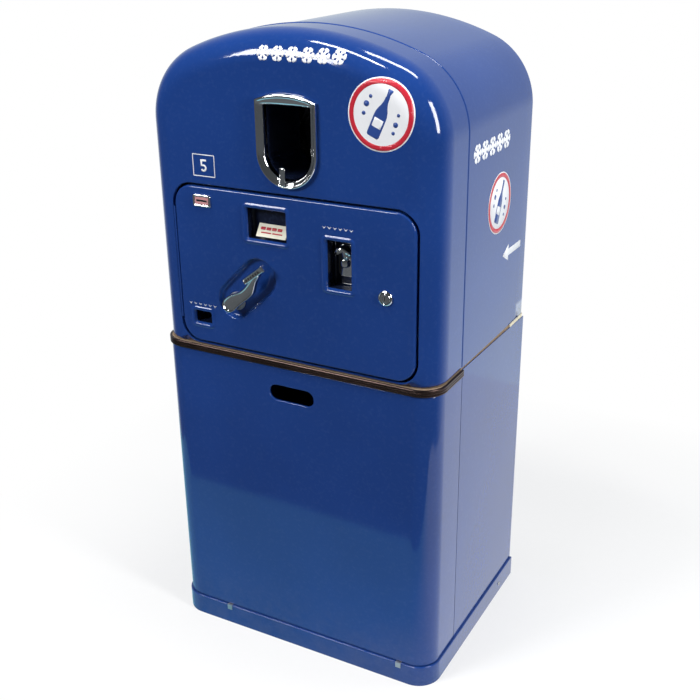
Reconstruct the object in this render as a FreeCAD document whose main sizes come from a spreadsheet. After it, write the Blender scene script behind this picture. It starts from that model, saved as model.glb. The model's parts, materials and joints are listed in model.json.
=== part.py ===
"""A round-topped bottle vending machine on a matching base cabinet.

The machine stands on the floor with its front towards -Y and +Z up. The origin is the centre of
the base's footprint, on the floor. All lengths are in millimetres.
"""
import FreeCAD, Part
import math
import os
import Sketcher

os.makedirs("parts", exist_ok=True)

# Driving sizes: name, value, what it is
SIZES = [
    # Cabinets
    ("cabinet_width", 635.0, "width over both doors"),
    ("cabinet_height", 1334.0, "floor to the crown of the upper door"),
    ("lower_depth", 476.0, "front panel face to the rear of the base cabinet"),
    ("upper_depth", 467.0, "door face to the rear of the upper cabinet"),
    ("door_depth", 126.5, "how far the door and the front panel wrap round the sides"),
    ("joint_height", 694.0, "floor to the joint between the two cabinets"),
    ("shoulder_radius", 150.0, "arc at each shoulder of the round top"),
    ("shoulder_drop", 183.0, "crown down to the centres of the shoulder arcs"),
    ("cabinet_inset", 2.5, "upper cabinet inside the door's outline"),
    ("sheet", 1.2, "cabinet sheet steel"),
    ("seam_gap", 2.0, "gap between a door and the cabinet behind it"),
    ("flange", 15.0, "width of the folded sheet flanges"),
    ("weld", 0.2, "overlap of folded or welded sheets"),
    # Base
    ("plinth_height", 48.0, "height of the plinth"),
    ("plinth_overhang", 4.0, "how far the plinth stands out all round"),
    ("plinth_sheet", 1.6, "plinth steel"),
    ("plinth_edge", 2.0, "rounding along the top of the plinth"),
    ("plinth_rib", 3.0, "rib along the middle of the plinth"),
    ("frame_height", 14.0, "board between the two cabinets"),
    ("joint_gap", 1.0, "lift of the upper cabinet above the joint"),
    ("side_slope", 6.5, "fall of the base cabinet's side edges towards the rear"),
    ("shim_length", 84.0, "packing strip at each rear corner of the joint"),
    ("shim_width", 1.8, "thickness of the packing strip"),
    # Front panel of the base cabinet
    ("panel_radius", 48.0, "rounded vertical corners of the front panel"),
    ("panel_lift", 1.0, "gap below and above the front panel"),
    ("hand_slot_width", 104.0, "hand slot, end to end"),
    ("hand_slot_height", 34.0, "hand slot, top to bottom"),
    ("hand_slot_drop", 72.0, "joint down to the middle of the hand slot"),
    # Trim strip round the joint
    ("strip_proud", 4.0, "how far the trim strip stands out"),
    ("strip_groove", 1.0, "depth of the two grooves along the strip"),
    ("strip_groove_width", 1.8, "width of each groove"),
    # Upper door
    ("door_sheet", 1.5, "door steel"),
    ("door_radius", 58.0, "rounding of the door's front edge"),
    ("door_bottom_radius", 8.0, "rounding along the foot of the door"),
    ("lip_inset", 0.4, "door outline to the outside of its folded lip"),
    ("liner_fit", 0.5, "gap between the door and its liner"),
    ("bearing_front", 14.0, "index crank bearing ahead of the liner"),
    ("bearing_rear", 8.0, "index crank bearing to the rear of the liner's face"),
    ("bearing_wall", 4.0, "wall of the index crank bearing"),
    ("gasket_width", 11.0, "door gasket, across the lip"),
    ("gasket_foot", 2.0, "cabinet foot to the gasket's lower edge"),
    ("hinge_height", 70.0, "length of each door hinge"),
    ("hinge_low", 800.0, "floor to the middle of the lower door hinge"),
    ("hinge_high", 1100.0, "floor to the middle of the upper door hinge"),
    ("hinge_barrel", 4.0, "radius of the door hinge barrels"),
    ("hinge_pin", 1.9, "radius of the door hinge pins"),
    ("hinge_out", 3.0, "door side out to the hinge axis"),
    ("hinge_leaf", 2.5, "thickness of the door hinge leaves"),
    ("hinge_leaf_width", 34.0, "reach of a door hinge leaf"),
    ("hinge_setback", 2.0, "cabinet front to the hinge axis"),
    ("hinge_web", 2.5, "thickness of the webs at the hinge barrels"),
    ("hinge_web_gap", 0.5, "door leaf's web off the door's side"),
    ("hinge_cap", 2.0, "height of the cap on a hinge pin"),
    ("running_fit", 0.05, "radial clearance of a turning shaft in its hole"),
    # Vend port
    ("port_x", 12.0, "middle of the vend port and of the bottle drum"),
    ("port_width", 98.0, "clear width of the vend port"),
    ("port_floor", 1066.0, "floor to the round bottom of the port"),
    ("port_top", 1201.0, "floor to the straight top of the port"),
    ("sleeve_short", 0.5, "port sleeve short of the door's rear"),
    ("bezel_band", 16.0, "width of the chrome band round the port"),
    ("bezel_proud", 9.0, "how far the bezel stands out of the door"),
    ("bezel_head", 1211.0, "floor to the shoulders of the bezel"),
    ("bezel_crown", 14.0, "rise of the bezel's arched top"),
    ("bezel_bevel", 5.0, "bevel on the bezel's edges"),
    ("post_x", 5.5, "middle of the bottle stop post"),
    ("post_width", 11.0, "width of the bottle stop post"),
    ("post_low", 1056.0, "floor to the foot of the post"),
    ("post_high", 1090.0, "floor to the tip of the post"),
    ("post_thickness", 3.5, "thickness of the post"),
    # Coin panel
    ("panel_left", -256.0, "left edge of the coin panel"),
    ("panel_right", 273.5, "right edge of the coin panel"),
    ("panel_bottom", 704.0, "floor to the foot of the coin panel"),
    ("panel_top", 1032.0, "floor to the head of the coin panel"),
    ("panel_corner", 40.0, "corner radius of the coin panel"),
    ("panel_proud", 1.0, "how far the coin panel stands out of the door"),
    ("panel_edge", 4.0, "rounded edge of the coin panel"),
    ("panel_rim", 14.0, "depth of the coin panel's folded rim"),
    ("groove", 5.0, "groove round the coin panel"),
    ("rim_short", 2.0, "wall of the door's hole short of the coin panel's rim"),
    ("bead", 1.2, "height of the pressed beads round the openings"),
    ("bead_width", 12.0, "width of the pressed beads"),
    ("bead_corner", 6.0, "corner radius of the beads"),
    ("shelf_lift", 9.0, "coin panel's foot up to the shelf"),
    ("shelf_depth", 98.0, "shelf behind the coin panel"),
    ("shelf_margin", 8.0, "shelf past the boxes on it"),
    # Coin slot
    ("slot_x", -188.5, "middle of the coin slot bezel"),
    ("slot_z", 1004.5, "height of the coin slot bezel"),
    ("slot_bezel_width", 42.0, "coin slot bezel, across"),
    ("slot_bezel_height", 25.0, "coin slot bezel, up"),
    ("slot_bezel_proud", 3.5, "how far the coin slot bezel stands out"),
    ("slot_bezel_corner", 5.0, "corner radius of the coin slot bezel"),
    ("slot_bezel_edge", 1.6, "rounded edge of the coin slot bezel"),
    ("slot_spigot", 3.5, "coin slot bezel's flange past its hole"),
    ("slot_spigot_corner", 3.0, "corner radius of the bezel's hole"),
    ("slot_spigot_fit", 0.1, "gap round the bezel in its hole"),
    ("slot_bezel_length", 8.0, "coin slot bezel behind the panel face"),
    ("slot_width", 24.0, "coin slot, across"),
    ("slot_height", 2.6, "coin slot, up"),
    # Price card window
    ("card_left", -86.0, "left edge of the card window"),
    ("card_right", 1.0, "right edge of the card window"),
    ("card_bottom", 942.0, "foot of the card window"),
    ("card_top", 1002.0, "head of the card window"),
    ("card_depth", 24.0, "depth of the card pocket"),
    ("card_slope_rise", 30.0, "rise of the sloped card rest"),
    ("card_width", 66.0, "width of the card"),
    ("card_length", 27.0, "length of the card up the slope"),
    ("card_thickness", 0.8, "thickness of the card"),
    ("card_margin", 4.0, "card short of the window's right edge"),
    ("card_rise", 5.0, "foot of the slope up to the card"),
    ("card_float", 0.05, "card off its rest"),
    ("rest_edge", 1.0, "height and setback of the rest's front edge"),
    ("rest_top", 0.8, "width of the rest's top edge"),
    # Coin return
    ("return_left", -224.0, "left edge of the coin return"),
    ("return_right", -186.0, "right edge of the coin return"),
    ("return_bottom", 745.0, "foot of the coin return"),
    ("return_top", 769.0, "head of the coin return"),
    ("return_depth", 42.0, "depth of the coin return cup"),
    # Bottle opener
    ("opener_left", 89.5, "left edge of the opener recess"),
    ("opener_right", 141.0, "right edge of the opener recess"),
    ("opener_bottom", 868.0, "foot of the opener recess"),
    ("opener_top", 961.0, "head of the opener recess"),
    ("opener_depth", 34.0, "depth of the opener recess"),
    ("opener_radius", 17.0, "radius of the opener's hood"),
    ("opener_drop", 30.0, "head of the recess down to the hood's centre"),
    ("opener_band", 4.5, "thickness of the opener's hood"),
    ("opener_plate", 3.0, "thickness of the opener's plate"),
    ("opener_stop", 28.0, "hood's centre down to the opener's stop"),
    ("opener_stop_radius", 8.0, "radius of the opener's stop"),
    ("opener_stop_height", 9.0, "stop out of the opener's plate"),
    ("opener_foot", 46.0, "hood's centre down to the plate's foot"),
    ("opener_reach", 22.0, "how far the hood reaches forward"),
    ("cup_wall", 1.2, "wall of the pressed cups"),
    # Lock
    ("lock_x", 213.7, "middle of the lock"),
    ("lock_z", 867.5, "height of the lock"),
    ("lock_flange", 15.0, "radius of the lock's flange"),
    ("lock_proud", 4.0, "how far the lock stands out"),
    ("lock_barrel_radius", 11.0, "radius of the lock's barrel"),
    ("lock_plug_radius", 8.0, "radius of the turning plug"),
    ("lock_length", 14.0, "length of the lock behind the panel"),
    ("lock_bevel", 1.5, "bevel on the lock's flange"),
    ("keyway_width", 2.0, "width of the keyway"),
    ("keyway_height", 8.0, "height of the keyway"),
    ("keyway_depth", 10.0, "depth of the keyway"),
    ("lock_plug_proud", 0.5, "turning plug past each end of the barrel"),
    ("lock_cam_length", 78.0, "reach of the lock's cam"),
    ("lock_cam_width", 13.0, "width of the lock's cam"),
    ("lock_cam_thickness", 2.5, "thickness of the lock's cam"),
    ("lock_cam_corner", 4.0, "corner radius of the lock's cam"),
    # Crank
    ("crank_x", -125.0, "middle of the crank's shaft"),
    ("crank_z", 803.0, "height of the crank's shaft"),
    ("recess_x", -125.0, "middle of the recess' lower end"),
    ("recess_z", 806.0, "height of the recess' lower end"),
    ("recess_end_x", -66.0, "middle of the recess' upper end"),
    ("recess_end_z", 862.0, "height of the recess' upper end"),
    ("recess_radius", 37.0, "half width of the recess at its lower end"),
    ("recess_end_radius", 40.0, "half width of the recess at its upper end"),
    ("recess_depth", 11.0, "depth of the crank's recess"),
    ("collar_radius", 19.0, "radius of the crank's collar"),
    ("collar_height", 9.0, "collar out of the recess floor"),
    ("collar_edge", 2.5, "rounding of the collar's edge"),
    ("collar_wall", 3.0, "wall of the bearing behind the collar"),
    ("bearing_length", 12.0, "bearing behind the recess floor"),
    ("shaft_radius", 8.0, "radius of the crank's shaft"),
    ("shaft_cam", 40.0, "panel face to the cam on the crank's shaft"),
    ("shaft_cam_width", 6.0, "thickness of the cam"),
    ("shaft_cam_reach", 17.0, "shaft to the middle of the cam's nose"),
    ("shaft_cam_nose", 7.0, "radius of the cam's nose"),
    ("lever_way_x", 83.0, "direction of the grip, across"),
    ("lever_way_z", 85.0, "direction of the grip, up"),
    ("lever_hub_radius", 15.0, "half width of the grip at the shaft"),
    ("lever_belly", 61.0, "shaft along the grip to its belly"),
    ("lever_belly_side", 9.0, "belly aside of the grip's line"),
    ("lever_belly_radius", 10.5, "rounding of the belly"),
    ("lever_tip", 101.0, "shaft along the grip to its tip"),
    ("lever_tip_radius", 5.0, "rounding of the tip"),
    ("lever_back", 11.0, "panel face out to the back of the grip"),
    ("lever_thickness", 12.0, "thickness of the grip"),
    ("lever_edge", 1.2, "rounding of the grip's edges"),
    ("lever_neck", 11.0, "radius of the neck behind the grip"),
    ("scoop_depth", 3.0, "depth of the hollow in the grip's front"),
    ("scoop_rim", 3.5, "rim round the hollow"),
    ("plate_start", 69.0, "shaft along the grip to the plate's foot"),
    ("plate_start_side", 9.6, "plate's foot aside of the grip's line"),
    ("plate_end", 126.6, "shaft along the grip to the plate's head"),
    ("plate_end_side", 1.1, "plate's head aside of the grip's line"),
    ("plate_width", 11.0, "width of the plate on the grip"),
    ("plate_proud", 3.0, "plate out of the grip's front"),
    ("plate_bar", 8.0, "bar behind the plate"),
    # Coin mechanism and boxes behind the coin panel
    ("mech_plate", 2.0, "thickness of the coin mechanism's plates"),
    ("mech_width", 62.0, "width of the coin mechanism"),
    ("mech_bottom", 800.0, "foot of the coin mechanism"),
    ("mech_depth", 34.0, "space between the mechanism's plates"),
    ("mech_stud", 3.0, "radius of the mechanism's studs"),
    ("mech_inset", 10.0, "studs in from the plates' edges"),
    ("mech_drop", 4.0, "coin slot bezel down to the mechanism"),
    ("mech_gap", 1.0, "coin panel's rim to the mechanism"),
    ("cradle_width", 28.0, "width of the coin cradle"),
    ("cradle_height", 40.0, "height of the coin cradle"),
    ("cradle_drop", 30.0, "plates' head down to the cradle"),
    ("chute_width", 6.0, "width of the coin chute"),
    ("panel_knuckles", 5.0, "knuckles of the coin panel's hinge"),
    ("panel_pin", 1.0, "radius of the coin panel's hinge pin"),
    ("panel_leaf", 1.2, "thickness of the coin panel's hinge leaves"),
    ("panel_leaf_width", 22.0, "hinge leaf on the door's sheet"),
    ("hinge_margin", 6.0, "hinge short of the coin panel's corners"),
    ("box_wall", 1.0, "wall of the coin box and the cap box"),
    ("box_front", 13.0, "panel face to the boxes"),
    ("coin_box_left", -96.0, "left side of the coin box"),
    ("coin_box_right", 56.0, "right side of the coin box"),
    ("coin_box_height", 68.0, "height of the coin box"),
    ("cap_box_left", 78.0, "left side of the cap box"),
    ("cap_box_right", 156.0, "right side of the cap box"),
    ("cap_box_height", 131.0, "height of the cap box"),
    ("box_depth", 82.0, "depth of both boxes"),
    ("loose_gap", 0.3, "clearance round a loose piece"),
    # Cold tank
    ("wall_thickness", 41.0, "insulated wall at the sides and top"),
    ("floor_thickness", 31.0, "insulated floor"),
    ("tank_depth", 300.0, "front of the tank to its back"),
    ("tank_sheet", 1.0, "tank sheet"),
    ("foam_fit", 0.2, "gap round the insulation"),
    ("foam_bore", 1.0, "gap round the axle in the insulation"),
    # Bottle drum
    ("drum_height", 981.0, "floor to the drum's axis"),
    ("ring_inner", 98.0, "drum axis to the inner ring of bottles"),
    ("ring_pitch", 54.0, "distance between the rings of bottles"),
    ("bottle_radius", 29.5, "inside radius of a bottle tube"),
    ("tube_wall", 0.7, "wall of a bottle tube"),
    ("drum_front", -68.0, "front ends of the bottle tubes"),
    ("drum_length", 218.0, "length of the bottle tubes"),
    ("drum_plate", 1.5, "rear plate of the drum"),
    ("band_width", 60.0, "width of the drum's rim band"),
    ("band_sheet", 1.2, "thickness of the rim band"),
    ("band_lead", 3.0, "rim band ahead of the bottle tubes"),
    ("core_radius", 64.0, "outer radius of the drum's core"),
    ("core_wall", 1.5, "wall of the drum's core"),
    ("core_setback", 8.0, "front of the core behind the tubes' ends"),
    ("hub_wall", 4.0, "wall of the drum's hub"),
    ("axle_radius", 12.0, "radius of the drum's axle"),
    ("bush_wall", 6.0, "wall of the drum's bushes"),
    ("bush_length", 24.0, "length of each bush"),
    ("axle_flange_radius", 45.0, "radius of the axle's flange"),
    ("axle_flange_thickness", 6.0, "thickness of the axle's flange"),
    ("axle_collar", 5.0, "collar that keeps the drum on its axle"),
    ("axle_lead", 1.0, "collar ahead of the drum's hub"),
    ("plate_gap", 1.0, "drum's rear plate round its bush"),
    ("ratchet_height", 6.5, "height of the ratchet teeth"),
    ("ratchet_width", 8.0, "width of the ratchet ring"),
    ("pawl_gap", 2.0, "pawl tips off the ratchet at rest"),
    ("stop_reach", 24.0, "pawl tips' circle out to the stop pawl's pin"),
    ("stop_bracket", 3.0, "thickness of the stop pawl's bracket"),
    ("arm_gap", 1.0, "index crank and bracket off the moving pieces beside them"),
    # Index crank on the door liner
    ("index_arm", 66.0, "index crank's shaft to its pawl"),
    ("index_arm_width", 16.0, "width of the index crank"),
    ("index_arm_thickness", 5.0, "thickness of the index crank"),
    ("index_eye", 3.0, "wider eye of the index crank at its shaft"),
    ("index_disc_wall", 6.0, "disc of the index crank round the tongue"),
    ("pawl_pin_past", 0.5, "pawl pin past the pawl"),
    ("tongue_gap", 0.5, "end of the tongue in its slot"),
    ("pawl_pin", 4.0, "radius of the pawl pins"),
    ("pawl_eye", 8.0, "radius round the pawl pins"),
    ("pawl_tip", 2.0, "radius of the pawls' noses"),
    ("pawl_width", 7.0, "thickness of the pawls"),
    ("tongue_width", 15.0, "drive tongue at the end of the crank's shaft"),
    ("tongue_thickness", 4.0, "thickness of the drive tongue"),
    ("tongue_length", 6.0, "length of the drive tongue"),
    ("crank_shaft_length", 92.0, "panel face to the end of the crank's shaft"),
    # Cooling unit
    ("pump_x", -130.0, "middle of the compressor"),
    ("pump_y", 60.0, "middle of the compressor, front to rear"),
    ("pump_radius", 88.0, "radius of the compressor's shell"),
    ("pump_height", 205.0, "height of the compressor's shell"),
    ("pump_dome", 34.0, "rounding of the shell's ends"),
    ("foot_height", 16.0, "height of the rubber feet"),
    ("foot_radius", 13.0, "radius of the rubber feet"),
    ("foot_spread", 84.0, "compressor's middle to a foot, each way"),
    ("pump_plate", 3.0, "compressor's mounting plate"),
    ("coil_x", 161.0, "middle of the condenser and its fan"),
    ("coil_width", 250.0, "width of the condenser"),
    ("coil_height", 250.0, "height of the condenser"),
    ("coil_depth", 44.0, "depth of the condenser"),
    ("coil_rear_gap", 16.0, "condenser to the rear panel"),
    ("coil_tube", 4.8, "radius of the condenser's tube"),
    ("coil_pitch", 38.0, "distance between the condenser's runs"),
    ("coil_low", 30.0, "foot of the condenser to its lowest run"),
    ("fin_sheet", 0.8, "thickness of a fin"),
    ("shroud_depth", 14.0, "depth of the fan shroud"),
    ("fan_radius", 94.0, "reach of the fan's blades"),
    ("fan_gap", 7.0, "gap round the fan"),
    ("fan_hub", 20.0, "radius of the fan's hub"),
    ("fan_hub_length", 22.0, "length of the fan's hub"),
    ("fan_blade", 46.0, "width of a fan blade"),
    ("blade_sheet", 1.6, "thickness of a fan blade"),
    ("fan_setback", 4.0, "fan's middle ahead of the shroud"),
    ("motor_radius", 38.0, "radius of the fan motor"),
    ("motor_length", 62.0, "length of the fan motor"),
    ("motor_gap", 4.0, "fan's hub to the motor"),
    ("motor_shaft", 3.0, "radius of the fan motor's shaft"),
    ("motor_foot", 30.0, "width of the fan motor's foot"),
    ("line_radius", 4.0, "radius of the refrigerant lines"),
    ("line_inset", 110.0, "right side in to the refrigerant line"),
    ("line_setback", 55.0, "upper cabinet's rear to the refrigerant line"),
    ("line_clearance", 4.0, "gap round the refrigerant line"),
    ("line_rise", 32.0, "condenser's top up to the line's level run"),
    ("evaporator_tube", 5.0, "radius of the evaporator's tube"),
    ("evaporator_pitch", 36.0, "distance between the evaporator's runs"),
    ("evaporator_low", 1064.0, "floor to the lowest run of the evaporator"),
    ("evaporator_half", 150.0, "half length of a straight run"),
    # Controls and wiring
    ("stat_height", 580.0, "floor to the middle of the thermostat"),
    ("stat_width", 44.0, "thermostat box, front to rear"),
    ("stat_side", 56.0, "thermostat box, up"),
    ("stat_thickness", 28.0, "thermostat box, across"),
    ("knob_radius", 12.0, "radius of the thermostat's knob"),
    ("knob_step", 2.0, "knob's grip inside its pointer's reach"),
    ("knob_skirt", 4.0, "length of the knob's skirt"),
    ("pointer_width", 4.0, "width of the knob's pointer"),
    ("knob_length", 13.0, "length of the thermostat's knob"),
    ("wiring_inset", 67.5, "left side in to the middle of the wiring box and of the cord's gland"),
    ("wiring_width", 80.0, "wiring box, across"),
    ("wiring_depth", 46.0, "wiring box, front to rear"),
    ("wiring_height", 70.0, "wiring box, up"),
    ("gland_height", 92.0, "floor to the middle of the cord's gland"),
    ("gland_radius", 12.0, "flange of the cord's gland"),
    ("gland_bore", 4.5, "bore of the cord's gland"),
    ("wiring_wall", 1.5, "wall of the wiring box"),
    ("wiring_setback", 28.0, "wiring box to the rear panel"),
    ("stat_setback", 40.0, "cabinet front to the thermostat"),
    ("stat_shaft", 3.0, "radius of the thermostat's shaft"),
    ("gland_lip", 3.0, "flange of the gland past its hole, and its thickness"),
    ("gland_length", 16.0, "length of the gland inside the panel"),
    # Fasteners
    ("screw_head", 4.5, "radius of a screw's head"),
    ("screw_head_height", 2.4, "height of a screw's head"),
    ("screw_shank", 2.0, "radius of a screw's shank"),
    ("screw_length", 6.0, "length of a screw's shank"),
    ("screw_end", 60.0, "cabinet's ends to the first and last screws"),
    ("plinth_screw", 394.0, "front panel face to the plinth's side screw"),
    ("plinth_screw_height", 22.0, "floor to the plinth's side screws"),
    ("louvre_width", 210.0, "length of a louvre slot"),
    ("louvre_height", 7.0, "height of a louvre slot"),
    ("louvre_pitch", 20.0, "distance between the louvre slots"),
    ("louvre_gap", 40.0, "distance between the two columns of louvres"),
    ("louvre_end", 70.0, "rear panel's ends to its louvres"),
    ("clip_width", 12.0, "width of a panel clip"),
    ("clip_height", 12.0, "leg of a panel clip"),
    ("clip_left", -186.0, "middle of the left panel clip"),
    ("clip_right", 246.0, "middle of the right panel clip"),
]

# Numbers of things
CHANNELS = 9
RINGS = 3
NOTCHES = CHANNELS * RINGS
FAN_BLADES = 4
BLADE_PITCH = 62
STOP_NOTCHES = 7
STOP_LEAN = 6

# How far a cutter reaches past what it cuts
PAST = 1.0
LOUVRES = 9
FINS = 22
COIL_RUNS = 6
EVAPORATOR_RUNS = 6

doc = FreeCAD.newDocument("bottle_machine")
sheet_of_sizes = doc.addObject("Spreadsheet::Sheet", "Sizes")


class Size:
    """A number together with the sheet formula that gives it."""

    def __init__(self, number, formula):
        self.number = float(number)
        self.formula = formula

    def __add__(self, other):
        return joined(self, "+", known(other), self.number + known(other).number)

    def __radd__(self, other):
        return known(other) + self

    def __sub__(self, other):
        return joined(self, "-", known(other), self.number - known(other).number)

    def __rsub__(self, other):
        return known(other) - self

    def __mul__(self, other):
        return joined(self, "*", known(other), self.number * known(other).number)

    def __rmul__(self, other):
        return known(other) * self

    def __truediv__(self, other):
        return joined(self, "/", known(other), self.number / known(other).number)

    def __neg__(self):
        return known(0) - self


def known(value):
    """Turns a plain number into a Size."""
    if isinstance(value, Size):
        return value
    return Size(value, "(%r)" % float(value))


def joined(left, mark, right, number):
    """Joins two sizes by an arithmetic mark."""
    return Size(number, "(%s %s %s)" % (left.formula, mark, right.formula))


def root(value):
    """The square root of a size."""
    return Size(math.sqrt(value.number), "sqrt(%s)" % value.formula)


class Named:
    """The driving sizes by name."""


d = Named()
for row, (name, number, note) in enumerate(SIZES, start=1):
    sheet_of_sizes.set("A%d" % row, name)
    sheet_of_sizes.set("B%d" % row, str(number))
    sheet_of_sizes.set("C%d" % row, note)
    sheet_of_sizes.setAlias("B%d" % row, name)
    setattr(d, name, Size(number, "Sizes." + name))
doc.recompute()


def bind(thing, path, value):
    """Binds one property of an object to a size."""
    thing.setExpression(path, known(value).formula)


# Primitive shapes
def block(name, x, y, z):
    """A box between two values on each axis."""
    box = doc.addObject("Part::Box", name)
    for side, axis, (low, high) in (("Length", "x", x), ("Width", "y", y), ("Height", "z", z)):
        bind(box, side, known(high) - low)
        bind(box, "Placement.Base." + axis, low)
    return box


TURNS = {
    "x": FreeCAD.Rotation(FreeCAD.Vector(0, 1, 0), 90),
    "y": FreeCAD.Rotation(FreeCAD.Vector(1, 0, 0), -90),
    "z": FreeCAD.Rotation(),
}


def rod(name, axis, start, radius, length):
    """A cylinder from a start point along +X, +Y or +Z."""
    cylinder = doc.addObject("Part::Cylinder", name)
    cylinder.Placement = FreeCAD.Placement(FreeCAD.Vector(), TURNS[axis])
    bind(cylinder, "Radius", radius)
    bind(cylinder, "Height", length)
    for letter, value in zip("xyz", start):
        bind(cylinder, "Placement.Base." + letter, value)
    return cylinder


def fused(name, pieces):
    """Joins several shapes into one solid."""
    joint = doc.addObject("Part::MultiFuse", name)
    joint.Shapes = pieces
    joint.Refine = True
    return joint


def cut(name, base, tools):
    """Takes several tools out of a shape."""
    tool = tools[0]
    if len(tools) > 1:
        tool = doc.addObject("Part::Compound", name + "_tools")
        tool.Links = tools
    result = doc.addObject("Part::Cut", name)
    result.Base = base
    result.Tool = tool
    return result


def group(name, pieces):
    """Keeps several separate solids together in one object."""
    kept = doc.addObject("Part::Compound", name)
    kept.Links = pieces
    return kept


nodes = []


def node(thing, label):
    """Names a finished piece."""
    thing.Label = label
    nodes.append(thing)
    return thing


# Outlines: lists of (x, y, centre), where a centre makes the next stretch an arc about it
def polygon(*corners):
    """A closed outline of straight lines."""
    return [(known(x), known(y), None) for x, y in corners]


def rectangle(left, low, right, high):
    """A closed rectangle."""
    return polygon((left, low), (right, low), (right, high), (left, high))


def rounded(left, low, right, high, radius):
    """A rectangle with four rounded corners."""
    left, low, right, high = known(left), known(low), known(right), known(high)
    inner_left, inner_right = left + radius, right - radius
    inner_low, inner_high = low + radius, high - radius
    return [
        (inner_left, low, None),
        (inner_right, low, (inner_right, inner_low)),
        (right, inner_low, None),
        (right, inner_high, (inner_right, inner_high)),
        (inner_right, high, None),
        (inner_left, high, (inner_left, inner_high)),
        (left, inner_high, None),
        (left, inner_low, (inner_left, inner_low)),
    ]


def stadium(left, low, right, high):
    """A slot outline with half-round ends."""
    left, low, right, high = known(left), known(low), known(right), known(high)
    radius = (high - low) / 2
    middle = (high + low) / 2
    return [
        (left + radius, low, None),
        (right - radius, low, (right - radius, middle)),
        (right - radius, high, None),
        (left + radius, high, (left + radius, middle)),
    ]


def tapered(x1, y1, r1, x2, y2, r2):
    """Two round ends of different size joined by straight flanks."""
    x1, y1, r1, x2, y2, r2 = (known(value) for value in (x1, y1, r1, x2, y2, r2))
    span = root((x2 - x1) * (x2 - x1) + (y2 - y1) * (y2 - y1))
    along_x, along_y = (x2 - x1) / span, (y2 - y1) / span
    lean = (r1 - r2) / span
    square = root(1 - lean * lean)
    right_x, right_y = along_x * lean + along_y * square, along_y * lean - along_x * square
    left_x, left_y = along_x * lean - along_y * square, along_y * lean + along_x * square
    return [
        (x1 + right_x * r1, y1 + right_y * r1, None),
        (x2 + right_x * r2, y2 + right_y * r2, (x2, y2)),
        (x2 + left_x * r2, y2 + left_y * r2, None),
        (x1 + left_x * r1, y1 + left_y * r1, (x1, y1)),
    ]


half_width = d.cabinet_width / 2
shoulder_z = d.cabinet_height - d.shoulder_drop
shoulder_x = half_width - d.shoulder_radius
shoulder_rise = d.shoulder_drop - d.shoulder_radius
crown_radius = (shoulder_x * shoulder_x + d.shoulder_drop * d.shoulder_drop
                - d.shoulder_radius * d.shoulder_radius) / (2 * shoulder_rise)
crown_z = d.cabinet_height - crown_radius


def arch(inset, floor, corner=None):
    """The cabinet's round-topped outline, set in by an inset, down to a floor height.

    Its two lower corners are square, or round with a radius.
    """
    side = half_width - inset
    reach = (crown_radius - inset) / (crown_radius - d.shoulder_radius)
    joint_x = shoulder_x * reach
    joint_z = crown_z + (shoulder_z - crown_z) * reach
    floor = known(floor)
    top = [
        (side, shoulder_z, (shoulder_x, shoulder_z)),
        (joint_x, joint_z, (known(0), crown_z)),
        (-joint_x, joint_z, (-shoulder_x, shoulder_z)),
        (-side, shoulder_z, None),
    ]
    if corner is None:
        return [(-side, floor, None), (side, floor, None)] + top
    level = floor + corner
    right, left = side - corner, corner - side
    foot = [(left, floor, None), (right, floor, (right, level)), (side, level, None)]
    return foot + top + [(-side, level, (left, level))]


def u_shape(half, head, crown=None):
    """The port's outline: round at the bottom, straight or arched at the top."""
    centre_z = d.port_floor + d.port_width / 2
    left, right = d.port_x - half, d.port_x + half
    top_centre = None
    if crown is not None:
        top_radius = (half * half + crown * crown) / (2 * crown)
        top_centre = (d.port_x, head + crown - top_radius)
    return [
        (left, centre_z, (d.port_x, centre_z)),
        (right, centre_z, None),
        (right, head, top_centre),
        (left, head, None),
    ]


def wrap(side, front, rear, radius):
    """A plan outline with two rounded front corners."""
    return [
        (known(-side) + radius, front, None),
        (known(side) - radius, front, (known(side) - radius, front + radius)),
        (known(side), front + radius, None),
        (known(side), known(rear), None),
        (known(-side), known(rear), None),
        (known(-side), front + radius, (known(-side) + radius, front + radius)),
    ]


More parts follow.
